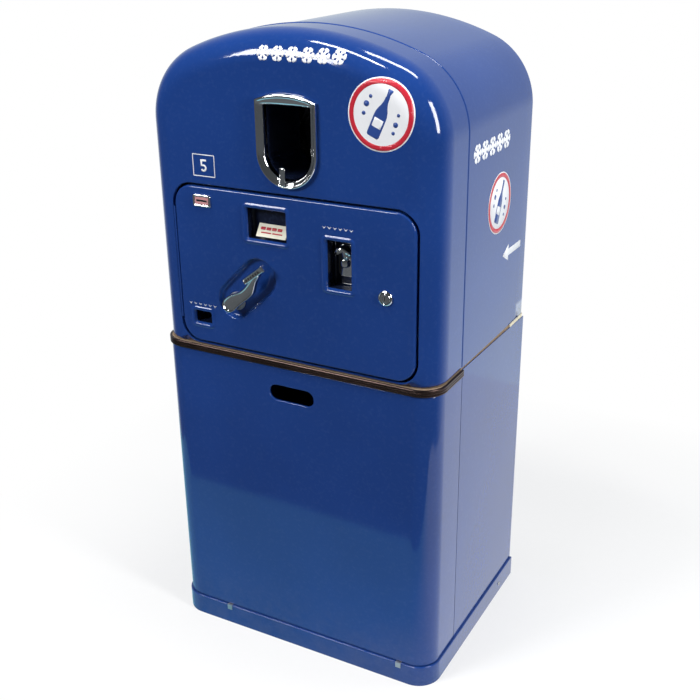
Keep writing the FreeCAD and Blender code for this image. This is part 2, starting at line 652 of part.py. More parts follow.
class Body:
    """A piece made feature by feature from sketches on its own planes."""

    # Each plane's sketch normal points along +X, -Y or +Z
    PLANES = {"YZ": ("YZ_Plane", 1), "XZ": ("XZ_Plane", -1), "XY": ("XY_Plane", 1)}

    def __init__(self, name):
        self.name = name
        self.body = doc.addObject("PartDesign::Body", name)
        self.steps = 0

    def label(self, kind):
        self.steps += 1
        return "%s_%s_%d" % (self.name, kind, self.steps)

    def sketch(self, plane, place, outlines, about=None):
        """Draws closed outlines and circles on a plane at a place along its axis.

        The sketch's own origin can be moved to a point of the plane.
        """
        role, sign = self.PLANES[plane]
        drawing = self.body.newObject("Sketcher::SketchObject", self.label("sketch"))
        support = [item for item in self.body.Origin.OriginFeatures if item.Role == role][0]
        drawing.AttachmentSupport = [(support, "")]
        drawing.MapMode = "FlatFace"
        bind(drawing, "AttachmentOffset.Base.z", known(place) * sign)
        if about is not None:
            bind(drawing, "AttachmentOffset.Base.x", about[0])
            bind(drawing, "AttachmentOffset.Base.y", about[1])
        for outline in outlines:
            if isinstance(outline, dict):
                self.circle(drawing, outline)
            else:
                self.loop(drawing, outline)
        return drawing

    @staticmethod
    def fix(drawing, geometry, point, x, y):
        """Fixes a point of a sketch at two sizes."""
        for kind, value in (("DistanceX", x), ("DistanceY", y)):
            number = drawing.addConstraint(
                Sketcher.Constraint(kind, -1, 1, geometry, point, known(value).number))
            drawing.setExpression("Constraints[%d]" % number, known(value).formula)

    def circle(self, drawing, ring):
        middle = FreeCAD.Vector(known(ring["x"]).number, known(ring["y"]).number, 0)
        radius = known(ring["radius"])
        geometry = drawing.addGeometry(
            Part.Circle(middle, FreeCAD.Vector(0, 0, 1), radius.number), False)
        self.fix(drawing, geometry, 3, ring["x"], ring["y"])
        number = drawing.addConstraint(Sketcher.Constraint("Radius", geometry, radius.number))
        drawing.setExpression("Constraints[%d]" % number, radius.formula)

    def loop(self, drawing, outline):
        """Draws one closed loop of lines and arcs, anticlockwise."""
        first = drawing.GeometryCount
        starts = []
        count = len(outline)
        for index, (x, y, centre) in enumerate(outline):
            after = outline[(index + 1) % count]
            here = FreeCAD.Vector(x.number, y.number, 0)
            there = FreeCAD.Vector(after[0].number, after[1].number, 0)
            if centre is None:
                drawing.addGeometry(Part.LineSegment(here, there), False)
                starts.append((1, 2))
                continue
            middle = FreeCAD.Vector(centre[0].number, centre[1].number, 0)
            begin = math.atan2(here.y - middle.y, here.x - middle.x)
            end = math.atan2(there.y - middle.y, there.x - middle.x)
            if end <= begin:
                end += 2 * math.pi
            ring = Part.Circle(middle, FreeCAD.Vector(0, 0, 1), (here - middle).Length)
            drawing.addGeometry(Part.ArcOfCircle(ring, begin, end), False)
            starts.append((1, 2))
        for index, (x, y, centre) in enumerate(outline):
            geometry = first + index
            following = first + (index + 1) % count
            self.fix(drawing, geometry, 1, x, y)
            drawing.addConstraint(Sketcher.Constraint("Coincident", geometry, 2, following, 1))
        for index, (x, y, centre) in enumerate(outline):
            if centre is None:
                continue
            after = outline[(index + 1) % count]
            across = abs(after[0].number - x.number) > abs(after[1].number - y.number)
            kind, value = ("DistanceY", centre[1]) if across else ("DistanceX", centre[0])
            number = drawing.addConstraint(
                Sketcher.Constraint(kind, -1, 1, first + index, 3, value.number))
            drawing.setExpression("Constraints[%d]" % number, value.formula)

    def volume(self):
        self.body.recompute(True)
        return self.body.Shape.Volume

    def feature(self, kind, plane, start, stop, outlines, about=None):
        start, stop = known(start), known(stop)
        drawing = self.sketch(plane, start, outlines, about)
        made = self.body.newObject("PartDesign::" + kind, self.label(kind.lower()))
        made.Profile = drawing
        forward = (stop.number - start.number) * self.PLANES[plane][1] > 0
        made.Reversed = forward if kind == "Pocket" else not forward
        bind(made, "Length", stop - start if stop.number > start.number else start - stop)
        drawing.Visibility = False
        self.body.Tip = made
        return made

    def pad(self, plane, start, stop, *outlines, about=None):
        """Adds material between two places along the plane's axis."""
        return self.feature("Pad", plane, start, stop, outlines, about)

    def pocket(self, plane, start, stop, *outlines, about=None):
        """Takes material out between two places along the plane's axis."""
        before = self.volume()
        made = self.feature("Pocket", plane, start, stop, outlines, about)
        if self.volume() >= before - 1e-6:
            raise RuntimeError("the pocket %s cuts nothing" % made.Name)
        return made

    def dress(self, kind, chosen, **values):
        """A fillet or a chamfer on the edges that a test picks."""
        self.body.recompute(True)
        base = self.body.Tip
        picked = ["Edge%d" % number for number, edge in enumerate(base.Shape.Edges, start=1)
                  if chosen(edge)]
        if not picked:
            raise RuntimeError("no edge of %s fits" % self.name)
        made = self.body.newObject("PartDesign::" + kind, self.label(kind.lower()))
        made.Base = (base, picked)
        for path, value in values.items():
            bind(made, path, value)
        self.body.Tip = made
        return made

    def fillet(self, radius, chosen):
        return self.dress("Fillet", chosen, Radius=radius)

    def chamfer(self, length, chosen):
        return self.dress("Chamfer", chosen, Size=length)

    def hollow(self, wall, chosen):
        """Turns the solid into a shell that is open at the faces that a test picks."""
        self.body.recompute(True)
        base = self.body.Tip
        picked = ["Face%d" % number for number, face in enumerate(base.Shape.Faces, start=1)
                  if chosen(face)]
        made = self.body.newObject("PartDesign::Thickness", self.label("thickness"))
        made.Base = (base, picked)
        made.Mode = 0
        made.Join = 1
        made.Reversed = True
        bind(made, "Value", wall)
        self.body.Tip = made
        return made

    def row(self, feature, axis, step, count):
        """Repeats a feature at equal steps along its sketch's axis."""
        made = self.body.newObject("PartDesign::LinearPattern", self.label("row"))
        made.Originals = [feature]
        made.Direction = (feature.Profile[0], [axis])
        bind(made, "Length", step * (count - 1))
        made.Occurrences = count
        self.body.Tip = made
        return made

    def circle_of(self, feature, count):
        """Repeats a feature round its sketch's origin."""
        made = self.body.newObject("PartDesign::PolarPattern", self.label("circle"))
        made.Originals = [feature]
        made.Axis = (feature.Profile[0], ["N_Axis"])
        made.Angle = 360
        made.Occurrences = count
        self.body.Tip = made
        return made


def ring(x, y, radius):
    """A circle for a sketch."""
    return {"x": x, "y": y, "radius": radius}


def flat_at(axis, value):
    """Tests whether an edge or face lies in a plane across an axis."""
    level = known(value).number

    def test(item):
        box = item.BoundBox
        low, high = getattr(box, axis.upper() + "Min"), getattr(box, axis.upper() + "Max")
        return abs(low - level) < 1e-4 and abs(high - level) < 1e-4
    return test





# Places that several pieces share
front_y = d.plinth_overhang - (d.lower_depth + 2 * d.plinth_overhang) / 2
seam_y = front_y + d.door_depth
cabinet_y = seam_y + d.seam_gap
upper_rear = front_y + d.upper_depth
lower_rear = front_y + d.lower_depth
deck_z = d.joint_height - d.frame_height
upper_z = d.joint_height + d.joint_gap
side_in = half_width - d.sheet
face_y = front_y - d.panel_proud
lip = d.cabinet_inset + d.sheet
tank_y = cabinet_y + d.sheet
tank_rear = tank_y + d.tank_depth
tank_inset = d.cabinet_inset + d.wall_thickness
tank_floor = upper_z + d.floor_thickness
liner_y = seam_y - d.door_sheet - d.sheet


def sides(make):
    """Makes a thing on the right and on the left; the side is 1 or -1."""
    return [make(side, word) for side, word in ((1, "right"), (-1, "left"))]


def span(side, inner, outer):
    """The low and high of a stretch on one side of the middle."""
    return (inner, outer) if side > 0 else (-known(outer), -known(inner))


# Screws: one shape for every place
def screw(name, axis, x, y, z, way):
    """A round-headed screw whose shank runs from its seat towards one way along an axis."""
    seat = {"x": x, "y": y, "z": z}
    head, shank = dict(seat), dict(seat)
    if way > 0:
        head[axis] = known(seat[axis]) - d.screw_head_height
    else:
        shank[axis] = known(seat[axis]) - d.screw_length
    cap = rod(name + "_head", axis, [head[k] for k in "xyz"], d.screw_head, d.screw_head_height)
    pin = rod(name + "_shank", axis, [shank[k] for k in "xyz"], d.screw_shank, d.screw_length)
    return fused(name, [cap, pin])


def screw_hole(name, axis, x, y, z):
    """The hole that goes with a screw, long enough both ways."""
    start = {"x": x, "y": y, "z": z}
    start[axis] = known(start[axis]) - d.screw_length
    return rod(name, axis, [start[k] for k in "xyz"], d.screw_shank + d.running_fit,
               2 * d.screw_length)


screw_places = []
panel_screw_x = side_in - d.flange / 2
for side in (1, -1):
    for z in (d.plinth_height + d.screw_end, (d.plinth_height + deck_z) / 2, deck_z - d.screw_end):
        screw_places.append(("y", side * panel_screw_x, lower_rear, z, -1))
    for z in (upper_z + d.screw_end, (upper_z + shoulder_z) / 2, shoulder_z):
        screw_places.append(("y", side * (half_width - lip - d.flange / 2), upper_rear, z, -1))
    screw_places.append(("x", side * (half_width + d.plinth_overhang), front_y + d.plinth_screw,
                         d.plinth_screw_height, -side))
screws, holes = [], {"y": [], "x": []}
for number, (axis, x, y, z, way) in enumerate(screw_places, start=1):
    screws.append(screw("screw_%d" % number, axis, x, y, z, way))
    holes[axis].append(screw_hole("screw_hole_%d" % number, axis, x, y, z))
node(group("screws", screws), "cabinet_screws")
rear_holes = group("rear_screw_holes", holes["y"])
plinth_holes = group("plinth_screw_holes", holes["x"])

# Plinth: a folded tray, open underneath, with a rib along its middle
plinth = Body("plinth_tray")
plinth_x = half_width + d.plinth_overhang
plinth_y = lower_rear + d.plinth_overhang
plinth_in = d.plinth_sheet
plinth.pad("XY", 0, d.plinth_height,
           wrap(plinth_x, -plinth_y, plinth_y, d.panel_radius + d.plinth_overhang))
plinth.fillet(d.plinth_edge, flat_at("z", d.plinth_height))
plinth.pocket("XY", 0, d.plinth_height - d.plinth_sheet,
              wrap(plinth_x - plinth_in, plinth_in - plinth_y, plinth_y - plinth_in,
                   d.panel_radius + d.plinth_overhang - plinth_in))
plinth.pad("XY", 0, d.plinth_height - d.plinth_sheet / 2, rectangle(
    -d.plinth_rib / 2, -plinth_y + d.plinth_sheet / 2, d.plinth_rib / 2,
    plinth_y - d.plinth_sheet / 2))
node(cut("plinth", plinth.body, [plinth_holes]), "base_plinth")

# Base cabinet: two sides and a deck, with flanges at the front and the rear
shell = Body("base_shell")
for low, high in ((side_in, half_width), (-half_width, -side_in)):
    shell.pad("YZ", low, high, polygon(
        (cabinet_y, d.plinth_height), (lower_rear, d.plinth_height),
        (lower_rear, d.joint_height - d.joint_gap - d.side_slope),
        (cabinet_y, d.joint_height - d.joint_gap)))
shell.pad("XY", deck_z - d.sheet, deck_z, rectangle(-side_in, cabinet_y, side_in, lower_rear))
flange_in = side_in - d.flange
for low, high in ((flange_in, side_in), (-side_in, -flange_in)):
    shell.pad("XY", d.plinth_height, deck_z - d.sheet,
              rectangle(low, cabinet_y, high, cabinet_y + d.sheet),
              rectangle(low, lower_rear - 2 * d.sheet, high, lower_rear - d.sheet))
line_x, line_y = half_width - d.line_inset, upper_rear - d.line_setback
line_hole = d.line_radius + d.line_clearance
shell.pocket("XY", deck_z - 2 * d.sheet, deck_z + d.sheet, ring(line_x, line_y, line_hole))
node(cut("lower_shell", shell.body, [rear_holes]), "lower_cabinet_shell")

# Rear panel of the base cabinet, with two groups of louvre slots and the hole of the cord's gland
wiring_x = d.wiring_inset - half_width
rear_panel = Body("rear_sheet")
rear_low, rear_high = d.plinth_height + d.loose_gap, deck_z - d.sheet - d.loose_gap
rear_x = side_in - d.loose_gap
rear_panel.pad("XZ", lower_rear - d.sheet, lower_rear,
               rectangle(-rear_x, rear_low, rear_x, rear_high),
               ring(wiring_x, d.gland_height, d.gland_radius - d.gland_lip))
slot_near = d.louvre_gap / 2
louvre_rise = d.louvre_pitch * (LOUVRES - 1) + d.louvre_height
for low in (d.plinth_height + d.louvre_end, deck_z - d.louvre_end - louvre_rise):
    slots = [stadium(left, low, left + d.louvre_width, low + d.louvre_height)
             for left in (slot_near, -slot_near - d.louvre_width)]
    first = rear_panel.pocket("XZ", lower_rear - 2 * d.sheet, lower_rear + d.sheet, *slots)
    rear_panel.row(first, "V_Axis", d.louvre_pitch, LOUVRES)
node(cut("rear_cover", rear_panel.body, [rear_holes]), "lower_rear_panel")

# Board between the two cabinets; the trim strip goes round its front
board = Body("board")
board_x = side_in - d.shim_width
board_y = front_y + d.sheet
board.pad("XY", deck_z, d.joint_height, wrap(half_width - d.sheet, board_y, seam_y,
                                             d.panel_radius - d.sheet))
board.pad("XY", deck_z, d.joint_height, rectangle(-board_x, seam_y, board_x, lower_rear - d.sheet))
board.pocket("XY", deck_z - PAST, d.joint_height + PAST, ring(line_x, line_y, line_hole))
node(board.body, "joint_board")

strip = Body("strip")
strip_out = half_width + d.strip_proud
strip.pad("XY", deck_z, d.joint_height,
          wrap(strip_out, front_y - d.strip_proud, seam_y, d.panel_radius + d.strip_proud))
strip.pocket("XY", deck_z - PAST, d.joint_height + PAST,
             wrap(side_in, board_y, seam_y + PAST, d.panel_radius - d.sheet))
groove_out = strip_out + d.strip_groove
groove_in = strip_out - d.strip_groove
for level in (d.frame_height / 3, 2 * d.frame_height / 3):
    low = deck_z + level - d.strip_groove_width / 2
    strip.pocket("XY", low, low + d.strip_groove_width,
                 wrap(groove_out, front_y - d.strip_proud - d.strip_groove, seam_y + PAST,
                      d.panel_radius + d.strip_proud + d.strip_groove),
                 wrap(groove_in, front_y - d.strip_proud + d.strip_groove, seam_y + 2 * PAST,
                      d.panel_radius + d.strip_proud - d.strip_groove))
node(strip.body, "trim_strip")


# Cream packing strips in the rear ends of the joint, on the edges of the base cabinet's sides
shim_z = d.joint_height - d.joint_gap - d.side_slope * (
    (d.lower_depth - d.door_depth - d.seam_gap - d.shim_length)
    / (d.lower_depth - d.door_depth - d.seam_gap))


def shim(side, word):
    x = span(side, side_in - d.shim_width / 2, half_width - d.shim_width / 4)
    return block("shim_" + word, x, (lower_rear - d.shim_length, upper_rear - 1),
                 (shim_z, upper_z))


node(group("shims", sides(shim)), "joint_shims")


# Front panel of the base cabinet: a sheet that wraps round both sides, with a hand slot
front = Body("front_sheet")
panel_low, panel_high = d.plinth_height + d.panel_lift, deck_z - d.panel_lift
outer = wrap(half_width, front_y, seam_y, d.panel_radius)
front.pad("XY", panel_low, panel_high, outer)
front.pocket("XY", panel_low - PAST, panel_high + PAST,
             wrap(side_in, front_y + d.sheet, seam_y + PAST, d.panel_radius - d.sheet))
flange_cut = wrap(side_in - d.flange, front_y + d.sheet + d.flange, seam_y + 1,
                  d.panel_radius - d.sheet - d.flange)
panel_fold = wrap(side_in + d.weld, front_y + d.sheet - d.weld, seam_y,
                  d.panel_radius - d.sheet + d.weld)
front.pad("XY", panel_low, panel_low + d.sheet, panel_fold)
front.pocket("XY", panel_low - PAST, panel_low + d.sheet + PAST, flange_cut)
front.pad("XY", panel_high - d.sheet, panel_high, panel_fold)
front.pocket("XY", panel_high - d.sheet - PAST, panel_high + PAST, flange_cut)
slot_z = d.joint_height - d.hand_slot_drop
front.pocket("XZ", front_y - PAST, front_y + d.sheet + PAST,
             stadium(-d.hand_slot_width / 2, slot_z - d.hand_slot_height / 2,
                     d.hand_slot_width / 2, slot_z + d.hand_slot_height / 2))
node(front.body, "lower_front_panel")

# Upper cabinet: an arched wrapper with a folded flange at each end
wrapper = Body("wrapper")
wrapper.pad("XZ", cabinet_y, upper_rear, arch(d.cabinet_inset, upper_z),
            arch(lip, upper_z + d.sheet))
for low in (cabinet_y, upper_rear - 2 * d.sheet):
    wrapper.pad("XZ", low, low + d.sheet, arch(d.cabinet_inset + d.weld, upper_z + d.weld),
                arch(lip + d.flange, upper_z + d.sheet + d.flange))
wrapper.pocket("XY", upper_z - PAST, upper_z + d.sheet + PAST, ring(line_x, line_y, line_hole))
node(cut("upper_shell", wrapper.body, [rear_holes]), "upper_cabinet_shell")

back = Body("back_sheet")
back.pad("XZ", upper_rear - d.sheet, upper_rear,
         arch(lip + d.loose_gap, upper_z + d.sheet + d.loose_gap))
node(cut("upper_back", back.body, [rear_holes]), "upper_back_panel")

# Cold tank: an arched tray with a flange round its mouth
tank = Body("tank")
tank_in = tank_inset + d.tank_sheet
tank.pad("XZ", tank_y, tank_rear, arch(tank_inset, tank_floor))
tank.pad("XZ", tank_y, tank_y + d.tank_sheet,
         arch(lip + d.loose_gap, upper_z + d.sheet + d.loose_gap))
tank.pocket("XZ", tank_y - PAST, tank_rear - d.tank_sheet, arch(tank_in, tank_floor + d.tank_sheet))
tank.pocket("XZ", tank_rear - 2 * d.tank_sheet, tank_rear + d.tank_sheet,
            ring(d.port_x, d.drum_height, d.axle_radius + d.running_fit))
tank.pocket("XY", tank_floor - PAST, tank_floor + d.tank_sheet + PAST, ring(line_x, line_y, line_hole))

# The drum turns about the port's middle; its rings of bottles are one notch apart
NOTCH = 2 * math.pi / NOTCHES
rim_radius = d.ring_inner + d.ring_pitch * (RINGS - 1) + d.bottle_radius + d.tube_wall
band_radius = rim_radius + d.band_sheet
ring_rear = d.drum_front - d.band_lead
ring_front = ring_rear - d.ratchet_width
pawl_y = ring_front + (d.ratchet_width - d.pawl_width) / 2
arm_y = ring_front - d.arm_gap - d.index_arm_thickness

# The crank's shaft is this far from the drum's axis, in this direction
away_x, away_z = d.crank_x - d.port_x, d.crank_z - d.drum_height
away = root(away_x * away_x + away_z * away_z)
away_angle = math.atan2(away_z.number, away_x.number)
# A quarter turn of the crank carries the drive pawl's tip over one notch of the ratchet
half_notch = NOTCH / 2
HALF_TURN = math.pi / 4
tip_radius = away / (math.cos(half_notch) - math.sin(half_notch))
tip_arm = tip_radius * (math.sin(half_notch) / math.sin(HALF_TURN))
ratchet_tip = tip_radius - d.pawl_tip - d.pawl_gap
ratchet_root = ratchet_tip - d.ratchet_height
drive_angle = away_angle + HALF_TURN


def crank_point(radius):
    """A point on the index crank at rest, at a distance from its shaft."""
    return (d.crank_x + radius * math.cos(drive_angle),
            d.crank_z + radius * math.sin(drive_angle))


drive_x, drive_z = crank_point(d.index_arm)
tip_polar = away_angle + half_notch
stop_polar = tip_polar - STOP_NOTCHES * NOTCH
stop_pivot_polar = stop_polar + math.radians(STOP_LEAN)
stop_radius = tip_radius + d.stop_reach


def drum_point(radius, angle):
    """A point at a radius and an angle about the drum's axis."""
    return d.port_x + radius * math.cos(angle), d.drum_height + radius * math.sin(angle)


stop_x, stop_z = drum_point(stop_radius, stop_pivot_polar)

# The stop pawl's stud stands on a bracket welded to the tank's side
bracket_y = pawl_y - d.arm_gap - d.index_arm_thickness
bracket = block("stop_bracket", (tank_in - half_width - d.tank_sheet / 2, stop_x + d.pawl_eye),
                (bracket_y, bracket_y + d.stop_bracket), (stop_z - d.pawl_eye, stop_z + d.pawl_eye))
stud = rod("stop_stud", "y", (stop_x, bracket_y, stop_z), d.pawl_pin, ring_rear - bracket_y)
node(fused("tank_with_bracket", [tank.body, bracket, stud]), "tank_liner")


def pawl(name, pivot, tip, y):
    """A pawl from its pin to a rounded nose."""
    make = Body(name)
    make.pad("XZ", y, y + d.pawl_width,
             tapered(pivot[0], pivot[1], d.pawl_eye, tip[0], tip[1], d.pawl_tip),
             ring(pivot[0], pivot[1], d.pawl_pin + d.running_fit))
    return node(make.body, name)


pawl("stop_pawl", (stop_x, stop_z), drum_point(tip_radius, stop_polar), pawl_y)
pawl("drive_pawl", (drive_x, drive_z), crank_point(tip_arm), pawl_y)

# Insulation between the tank and the cabinet
wool = Body("wool")
wool_y = tank_y + d.tank_sheet + d.foam_fit
wool.pad("XZ", wool_y, upper_rear - 2 * d.sheet - d.foam_fit,
         arch(lip + d.foam_fit, upper_z + d.sheet + d.foam_fit))
wool.pocket("XZ", wool_y - PAST, tank_rear + d.foam_fit,
            arch(tank_inset - d.foam_fit, tank_floor - d.foam_fit))
wool.pocket("XY", upper_z, tank_floor + PAST, ring(line_x, line_y, line_hole))
wool.pocket("XZ", tank_rear - PAST, tank_rear + d.axle_flange_thickness + d.loose_gap,
            ring(d.port_x, d.drum_height, d.axle_radius + d.foam_bore))
node(cut("wool_filling", wool.body, [rear_holes]), "tank_insulation")

# Upper door: a deep pressed dish with a folded lip, open for the port and the coin panel
door = Body("door_dish")
door.pad("XZ", front_y, seam_y, arch(0, upper_z))


def front_edge(edge):
    """The front edge, except along the foot."""
    return flat_at("y", front_y)(edge) and edge.BoundBox.ZMax > upper_z.number + 1


def foot_edge(edge):
    """The edges along the foot, apart from the one at the rear."""
    return flat_at("z", upper_z)(edge) and not flat_at("y", seam_y)(edge)


door.fillet(d.door_radius, front_edge)
door.fillet(d.door_bottom_radius, foot_edge)
door.hollow(d.door_sheet, flat_at("y", seam_y))
lip_in = d.door_sheet + d.flange
door.pad("XZ", seam_y - d.door_sheet, seam_y,
         arch(d.lip_inset, upper_z + d.lip_inset, d.door_bottom_radius - d.lip_inset),
         arch(lip_in, upper_z + lip_in))
hole_left, hole_right = d.panel_left - d.groove, d.panel_right + d.groove
hole_low, hole_high = d.panel_bottom - d.groove, d.panel_top + d.groove
hole_corner = d.panel_corner + d.groove
rim_y = front_y + d.panel_rim - d.rim_short
door.pad("XZ", front_y + d.door_sheet / 2, rim_y,
         rounded(hole_left - d.door_sheet, hole_low - d.door_sheet, hole_right + d.door_sheet,
                 hole_high + d.door_sheet, hole_corner + d.door_sheet))
door.pocket("XZ", front_y - PAST, rim_y + PAST,
            rounded(hole_left, hole_low, hole_right, hole_high, hole_corner))
port_half = d.port_width / 2
sleeve_half = port_half + d.cup_wall
sleeve_head = d.port_top + d.cup_wall
door.pocket("XZ", front_y - PAST, front_y + 2 * d.door_sheet,
            u_shape(sleeve_half + d.loose_gap, sleeve_head + d.loose_gap))
node(door.body, "door_shell")

# Liner that closes the door's rear, with the bearing of the index crank
liner = Body("liner_sheet")
liner_edge = d.door_sheet + d.liner_fit
liner.pad("XZ", liner_y, liner_y + d.sheet,
          arch(liner_edge, upper_z + liner_edge, d.door_bottom_radius - liner_edge))
bearing_y = liner_y - d.bearing_front
bearing_rear = liner_y + d.bearing_rear
liner.pad("XZ", bearing_y, bearing_rear,
          ring(d.crank_x, d.crank_z, d.shaft_radius + d.bearing_wall))
liner.pocket("XZ", bearing_y - PAST, bearing_rear + PAST,
             ring(d.crank_x, d.crank_z, d.shaft_radius + d.running_fit))
liner.pocket("XZ", liner_y - PAST, liner_y + d.sheet + PAST,
             u_shape(sleeve_half + d.loose_gap, sleeve_head + d.loose_gap))
node(liner.body, "door_liner")

gasket = Body("gasket_ring")
gasket_low = upper_z + d.gasket_foot
gasket.pad("XZ", seam_y, cabinet_y - d.loose_gap, arch(d.cabinet_inset, gasket_low),
           arch(d.cabinet_inset + d.gasket_width, gasket_low + d.gasket_width))
node(gasket.body, "door_gasket")

# Door hinges on the left side: leaf, web and barrel, with the door's half above the cabinet's
axis_x = -(half_width + d.hinge_out)
axis_y = cabinet_y + d.hinge_setback
cabinet_side = -(half_width - d.cabinet_inset)


def hinge_part(name, z, upper):
    half_gap = d.loose_gap / 2
    low = z + half_gap if upper else z - d.hinge_height / 2
    high = z + d.hinge_height / 2 if upper else z - half_gap
    barrel = rod(name + "_barrel", "z", (axis_x, axis_y, low), d.hinge_barrel, high - low)
    if upper:
        leaf = block(name + "_leaf", (-half_width - d.hinge_leaf, -half_width),
                     (seam_y - d.hinge_leaf_width, seam_y - d.loose_gap), (low, high))
        web = block(name + "_web", (-half_width - d.hinge_leaf, -half_width - d.hinge_web_gap),
                    (seam_y - PAST, axis_y), (low, high))
    else:
        leaf = block(name + "_leaf", (cabinet_side - d.hinge_leaf, cabinet_side),
                     (axis_y + PAST, axis_y + d.hinge_leaf_width), (low, high))
        web = block(name + "_web", (axis_x, cabinet_side - PAST),
                    (axis_y + PAST, axis_y + PAST + d.hinge_web), (low, high))
    bore = rod(name + "_bore", "z", (axis_x, axis_y, low - PAST), d.hinge_pin + d.running_fit,
               high - low + 2 * PAST)
    return cut(name, fused(name + "_solid", [barrel, leaf, web]), [bore])


heights = (("low", d.hinge_low), ("high", d.hinge_high))
node(group("cabinet_leaves", [hinge_part("cabinet_leaf_" + word, z, False) for word, z in heights]),
     "door_hinge_cabinet_leaves")
node(group("door_leaves", [hinge_part("door_leaf_" + word, z, True) for word, z in heights]),
     "door_hinge_door_leaves")
pins = []
for word, z in heights:
    stem = rod("pin_stem_" + word, "z", (axis_x, axis_y, z - d.hinge_height / 2), d.hinge_pin,
               d.hinge_height)
    cap = rod("pin_cap_" + word, "z", (axis_x, axis_y, z + d.hinge_height / 2), d.hinge_barrel,
              d.hinge_cap)
    pins.append(fused("hinge_pin_" + word, [stem, cap]))
node(group("hinge_pins", pins), "door_hinge_pins")

# Vend port: a chrome bezel on the door, a sleeve through the door, and the bottle stop post
bezel = Body("bezel")
bezel.pad("XZ", front_y - d.bezel_proud, front_y,
          u_shape(port_half + d.bezel_band, d.bezel_head, d.bezel_crown), u_shape(port_half, d.port_top))


def bezel_front(edge):
    return flat_at("y", front_y - d.bezel_proud)(edge)


bezel.chamfer(d.bezel_bevel, bezel_front)
node(bezel.body, "port_bezel")

sleeve = Body("sleeve")
sleeve_rear = seam_y - d.sleeve_short
sleeve.pad("XZ", front_y, sleeve_rear, u_shape(sleeve_half, sleeve_head),
           u_shape(port_half, d.port_top))
node(sleeve.body, "port_sleeve")

post = Body("post")
post_y = front_y - d.bezel_proud
post.pad("XZ", post_y - d.post_thickness, post_y,
         rounded(d.post_x - d.post_width / 2, d.post_low, d.post_x + d.post_width / 2,
                 d.post_high, d.post_width / 3))
node(post.body, "port_post")

# Coin panel: a pressed tray with beads round its openings, a recess for the crank and a shelf
coin = Body("coin_tray")
coin.pad("XZ", face_y, face_y + d.panel_rim,
         rounded(d.panel_left, d.panel_bottom, d.panel_right, d.panel_top, d.panel_corner))
coin.fillet(d.panel_edge, flat_at("y", face_y))
coin.hollow(d.door_sheet, flat_at("y", face_y + d.panel_rim))
back_y = face_y + d.door_sheet
shelf_z = d.panel_bottom + d.shelf_lift
shelf_top = shelf_z + d.door_sheet
coin.pad("XY", shelf_z, shelf_top,
         rectangle(d.coin_box_left - d.shelf_margin, face_y + d.door_sheet / 2,
                   d.cap_box_right + d.shelf_margin, face_y + d.shelf_depth))
openings = (
    (d.card_left, d.card_bottom, d.card_right, d.card_top),
    (d.return_left, d.return_bottom, d.return_right, d.return_top),
    (d.opener_left, d.opener_bottom, d.opener_right, d.opener_top),
)
for left, low, right, high in openings:
    coin.pad("XZ", face_y - d.bead, face_y + d.bead / 2,
             rounded(left - d.bead_width, low - d.bead_width, right + d.bead_width,
                     high + d.bead_width, d.bead_corner + d.bead_width / 2))
recess = (d.recess_x, d.recess_z, d.recess_end_x, d.recess_end_z)


def recess_outline(margin):
    return tapered(recess[0], recess[1], d.recess_radius + margin, recess[2], recess[3],
                   d.recess_end_radius + margin)


floor_y = face_y + d.recess_depth
coin.pad("XZ", face_y + d.door_sheet / 2, floor_y + d.door_sheet, recess_outline(d.door_sheet))
coin.pocket("XZ", face_y - PAST, floor_y, recess_outline(0))
for left, low, right, high in openings:
    coin.pocket("XZ", face_y - d.bead - PAST, face_y + 2 * d.door_sheet,
                rounded(left, low, right, high, d.bead_corner / 2))
slot_left = d.slot_x - d.slot_bezel_width / 2
slot_low = d.slot_z - d.slot_bezel_height / 2
spigot = d.slot_spigot
coin.pocket("XZ", face_y - PAST, face_y + 2 * d.door_sheet,
            rounded(slot_left + spigot, slot_low + spigot, slot_left + d.slot_bezel_width - spigot,
                    slot_low + d.slot_bezel_height - spigot, d.slot_spigot_corner))
coin.pocket("XZ", face_y - PAST, face_y + 2 * d.door_sheet,
            ring(d.lock_x, d.lock_z, d.lock_barrel_radius + d.running_fit))
coin.pocket("XZ", floor_y - PAST, floor_y + 2 * d.door_sheet,
            ring(d.crank_x, d.crank_z, d.shaft_radius + d.collar_wall))
node(coin.body, "coin_panel")

slot_bezel = Body("slot_bezel")
slot_bezel.pad("XZ", face_y - d.slot_bezel_proud, face_y,
               rounded(slot_left, slot_low, slot_left + d.slot_bezel_width,
                       slot_low + d.slot_bezel_height, d.slot_bezel_corner))
slot_bezel.fillet(d.slot_bezel_edge, flat_at("y", face_y - d.slot_bezel_proud))
inside = spigot + d.slot_spigot_fit
slot_bezel.pad("XZ", face_y, face_y + d.slot_bezel_length,
               rounded(slot_left + inside, slot_low + inside,
                       slot_left + d.slot_bezel_width - inside,
                       slot_low + d.slot_bezel_height - inside,
                       d.slot_spigot_corner - d.slot_spigot_fit))
slot_bezel.pocket("XZ", face_y - d.slot_bezel_proud - PAST, face_y + d.slot_bezel_length + PAST,
                  rectangle(d.slot_x - d.slot_width / 2, d.slot_z - d.slot_height / 2,
                            d.slot_x + d.slot_width / 2, d.slot_z + d.slot_height / 2))
node(slot_bezel.body, "coin_slot_bezel")


def cup(name, left, low, right, high, depth):
    """A pressed cup behind an opening, open at the front."""
    make = Body(name)
    wall = d.cup_wall
    make.pad("XZ", back_y, face_y + depth,
             rectangle(left - wall, low - wall, right + wall, high + wall))
    make.pocket("XZ", back_y - PAST, face_y + depth - wall, rectangle(left, low, right, high))
    return make


